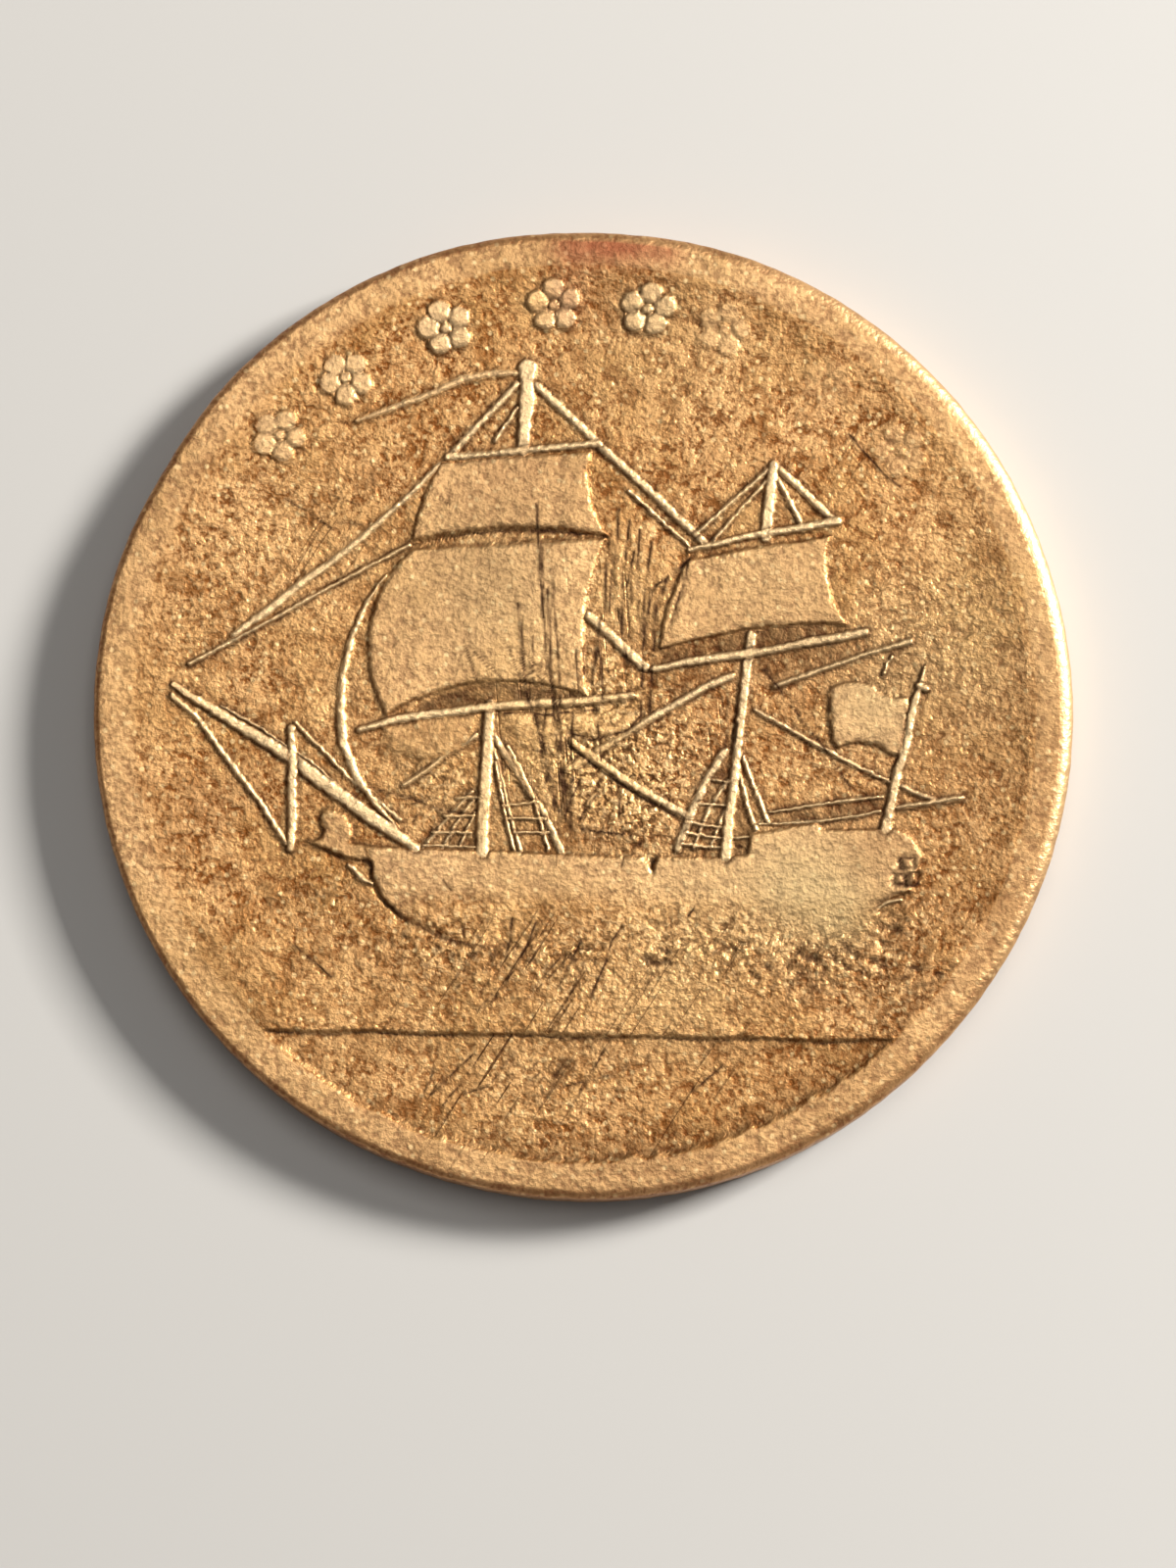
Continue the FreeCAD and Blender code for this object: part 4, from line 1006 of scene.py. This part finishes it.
def add(tree, kind, sockets=(), out=0, **settings):
    """Adds a node, gives it its settings, fills its sockets, by name or in their order, with
    values or links, and returns one of its outputs."""
    made = tree.nodes.new("ShaderNode" + kind)
    for name, value in settings.items():
        setattr(made, name, value)
    for name, value in sockets.items() if isinstance(sockets, dict) else enumerate(sockets):
        if isinstance(value, bpy.types.NodeSocket):
            tree.links.new(value, made.inputs[name])
        else:
            made.inputs[name].default_value = value
    return made.outputs[out] if made.outputs else None


FACTOR, FIRST, SECOND, MIXED = 0, 6, 7, 2   # sockets of a Mix node that blends colours


def worn_copper(name):
    """Struck copper, toned brown in the hollows and rubbed golden on the high places.

    The skin is grainy like fine sandpaper, so it sparkles in specks instead of mirroring, and bright
    dots painted into its colour stand in for more of these glints.  Its real grain is finer than 0.1
    mm, and is drawn as coarse as it needs to show.  The toned skin takes off some of the metal's shine.
    The brown in the hollows is dirt and, at the foot of raised shapes, painted shade; the gold on the
    high places is wear and, on the raised lines, a painted highlight.

    A Map Range node takes its value, the range that is read, and the range that is given."""
    material = bpy.data.materials.new(name)
    material.use_nodes = True
    material.node_tree.nodes.clear()
    node = functools.partial(add, material.node_tree)
    place = node("TexCoord", out="Object")
    mm = node("Mapping", {"Vector": place, "Scale": (1 / MM,) * 3})
    dirt, rub, stain, pit, hue, scored = (
        node("Attribute", attribute_name=tone, out="Fac") for tone in TONES)
    grain, lumps, clouds, mottle, pebble = (
        node("TexNoise", {"Vector": mm, "Scale": 1 / size, "Detail": detail, "Roughness": rough,
                          "Distortion": twist})
        for size, detail, rough, twist in (
            (0.17, 2.0, 0.6, 0.0),     # grain: the pitted skin of the metal
            (0.45, 2.0, 0.5, 0.0),     # lumps: soft bumps under the grain
            (2.6, 3.0, 0.6, 0.4),      # clouds: patches of tone
            (0.7, 3.0, 0.6, 0.0),      # mottle: brown clumps
            (0.18, 1.0, 0.5, 0.3)))    # pebble: grains and gaps of the pitted ground, the grains' tops with a painted highlight
    dots = {"Vector": mm, "Scale": 1 / 0.26}       # painted glints: single bright dots of 0.1 mm, 0.26 mm apart
    painted_glint, chance = (node("TexVoronoi", dots, out=out) for out in ("Distance", "Color"))

    clear = node("MapRange", (rub, 0.2, 1.0, 1.0, 0.15))     # rubbed places lose pits, scratches
    pit = node("MapRange", (pit, 0.0, 1.0, 0.0, clear))
    marks = []
    for lean, way in ((5, 1.0), (-32, -1.0)):                # upright and slanting scratches
        along = node("Mapping", {"Vector": mm, "Rotation": (0, 0, math.radians(lean)),
                                 "Scale": (1.0, 30.0, 1.0)}, vector_type="TEXTURE")
        streak = node("TexNoise", {"Vector": along, "Scale": 1 / 0.15, "Detail": 1.0})
        share = node("MapRange", (scored, 0.0, way, 0.0, clear))
        marks.append(node("MapRange", (streak, 0.645, 0.7, 0.0, share)))
    scratched = node("Math", marks, operation="ADD")
    skin = node("Mix", {0: 0.4, 2: grain, 3: lumps})
    hollow = node("MapRange", (rub, 0.0, 1.0, 1.0, 0.65))
    brown = node("MapRange", (rub, 0.0, 0.6, 0.6, 0.32))
    chosen = node("MapRange", (chance, 0.45, 0.65, 0.0, 0.75))
    gap_depth, hole_depth, top_light, stone = (
        node("MapRange", (pit, 0.0, 1.0, 0.0, most)) for most in (0.85, 0.45, 0.7, 1.5))
    gaps = node("MapRange", (pebble, 0.48, 0.38, 0.0, gap_depth))
    holes = node("MapRange", (lumps, 0.44, 0.36, 0.0, hole_depth))

    colour = linear("#b1824b")
    for share, coat in (
        ((clouds, 0.3, 0.7, 0.0, 1.0), "#dcaa71"),
        ((skin, 0.53, 0.39, 0.0, hollow), "#7a4516"),
        ((mottle, 0.5, 0.36, 0.0, brown), "#824e1c"),
        # painted glints: bright cream dots
        ((painted_glint, 0.36, 0.16, 0.0, chosen), "#f2cd92"),
        # pale gold where rubbed: worn metal, and on the raised lines' tops a painted highlight
        ((rub, 0.38, 1.0, 0.0, 0.95), "#edcb99"),
        ((stain, 0.0, 1.0, 0.0, 1.0), "#6d421b"),
        ((stain, 0.0, -1.0, 0.0, 1.0), "#e8b878"),
        ((node("Math", (gaps, holes), operation="MAXIMUM"), 0.0, 1.0, 0.0, 1.0), "#4f2c0c"),
        # painted highlight on the tops of the pitted ground's grains
        ((pebble, 0.53, 0.62, 0.0, top_light), "#f2c88e"),
        ((hue, 0.0, 1.0, 0.0, 0.8), "#914b30"),
        ((hue, 0.0, -1.0, 0.0, 0.5), "#c0aa7a"),
        ((scratched, 0.0, 1.0, 0.0, 0.85), "#4c290d"),
        # dark brown: dirt, and painted shade at the foot of raised shapes, in the rim's corner, under
        # the sea's step and between yards
        ((dirt, 0.03, 0.9, 0.0, 0.96), "#361a06"),
    ):
        colour = node("Mix", {FACTOR: node("MapRange", share), FIRST: colour,
                              SECOND: linear(coat)}, MIXED, data_type="RGBA")

    matt = node("MapRange", (grain, 0.3, 0.7, 0.5, 0.38))
    rough = node("Math", (dirt, 0.2, matt), operation="MULTIPLY_ADD")
    height = node("Math", (grain, 1.2), operation="MULTIPLY")
    for bumps, amount in ((lumps, 1.4), (pebble, stone), (scratched, -0.5)):
        height = node("Math", (bumps, amount, height), operation="MULTIPLY_ADD")
    calm = node("MapRange", (rub, 0.0, 0.6, 0.92, 0.56))
    height = node("Math", (height, calm), operation="MULTIPLY")
    normal = node("Bump", {"Height": height, "Strength": 1.0, "Distance": 0.045 * MM})
    shader = node("BsdfPrincipled", {"Base Color": colour, "Metallic": 0.8, "Roughness": rough,
                                     "Normal": normal})
    node("OutputMaterial", {"Surface": shader})
    return material


def pale_paper():
    """Matt pale paper over the table: soft shadows and no glare."""
    material = bpy.data.materials.new("pale_paper")
    material.use_nodes = True
    shader = material.node_tree.nodes["Principled BSDF"]
    shader.inputs["Base Color"].default_value = linear("#b9b7b4")
    shader.inputs["Roughness"].default_value = 0.75
    return material


# ---------------------------------------------------------------- the token

ship_half = token_half("token_ship_half", ship_side, soft_side=170, seed=41, upwards=True)
wreath_half = token_half("token_wreath_half", wreath_side, soft_side=60, seed=57, upwards=False)
copper = worn_copper("worn_struck_copper")
for half in (ship_half, wreath_half):
    half.data.materials.append(copper)
    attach(half, "root")
    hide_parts("struck_token")

# ---------------------------------------------------------------- the stage

FLOOR_HALF = 0.45
bpy.ops.mesh.primitive_plane_add(size=2 * FLOOR_HALF, location=(0, 0, 0))
floor = bpy.context.object
floor.name = "table_top"
floor.data.materials.append(pale_paper())


def soft_box(name, place, aim, size, power, colour):
    """A square area light at place that looks at aim."""
    data = bpy.data.lights.new(name, "AREA")
    data.shape, data.size, data.energy, data.color = "SQUARE", size, power, colour
    lamp = bpy.data.objects.new(name, data)
    lamp.location = place
    lamp.rotation_euler = (Vector(aim) - Vector(place)).to_track_quat("-Z", "Y").to_euler()
    bpy.context.scene.collection.objects.link(lamp)


token_middle = (0.0, 0.0, THICKNESS * MM)
soft_box("key", (0.27, 0.13, 0.19), token_middle, 0.09, 2.75, (1.0, 0.97, 0.92))
soft_box("fill", (-0.3, -0.22, 0.3), token_middle, 0.3, 0.06, (1.0, 0.97, 0.93))
soft_box("top", (0.02, 0.1, 0.42), token_middle, 0.22, 0.45, (1.0, 0.98, 0.95))

world = bpy.data.worlds.new("studio")
world.use_nodes = True
world.node_tree.nodes["Background"].inputs["Color"].default_value = (1.0, 0.97, 0.94, 1.0)
world.node_tree.nodes["Background"].inputs["Strength"].default_value = 0.14
scene = bpy.context.scene
scene.world = world
scene.view_settings.view_transform = "Standard"

# ---------------------------------------------------------------- the camera

CAMERA_ELEVATION = math.radians(83)
CAMERA_DISTANCE = 0.18
CAMERA_ROLL = math.radians(0.8)
FRAME_HEIGHT = 0.04542        # of the picture, at the token
AIM = Vector((0.16, -2.18, THICKNESS)) * MM

camera_data = bpy.data.cameras.new("camera")
camera_data.sensor_fit = "VERTICAL"
camera_data.sensor_height = 24
camera_data.lens = camera_data.sensor_height * CAMERA_DISTANCE / FRAME_HEIGHT
camera_data.clip_start = 0.01
camera = bpy.data.objects.new("camera", camera_data)
back = Vector((0, -math.cos(CAMERA_ELEVATION), math.sin(CAMERA_ELEVATION)))
right = Vector((1, 0, 0))
upright = back.cross(right)
right, upright = (right * math.cos(CAMERA_ROLL) + upright * math.sin(CAMERA_ROLL),
                  upright * math.cos(CAMERA_ROLL) - right * math.sin(CAMERA_ROLL))
turned = Matrix((right, upright, back)).transposed().to_4x4()
camera.matrix_world = Matrix.Translation(AIM + back * CAMERA_DISTANCE) @ turned
scene.collection.objects.link(camera)
scene.camera = camera
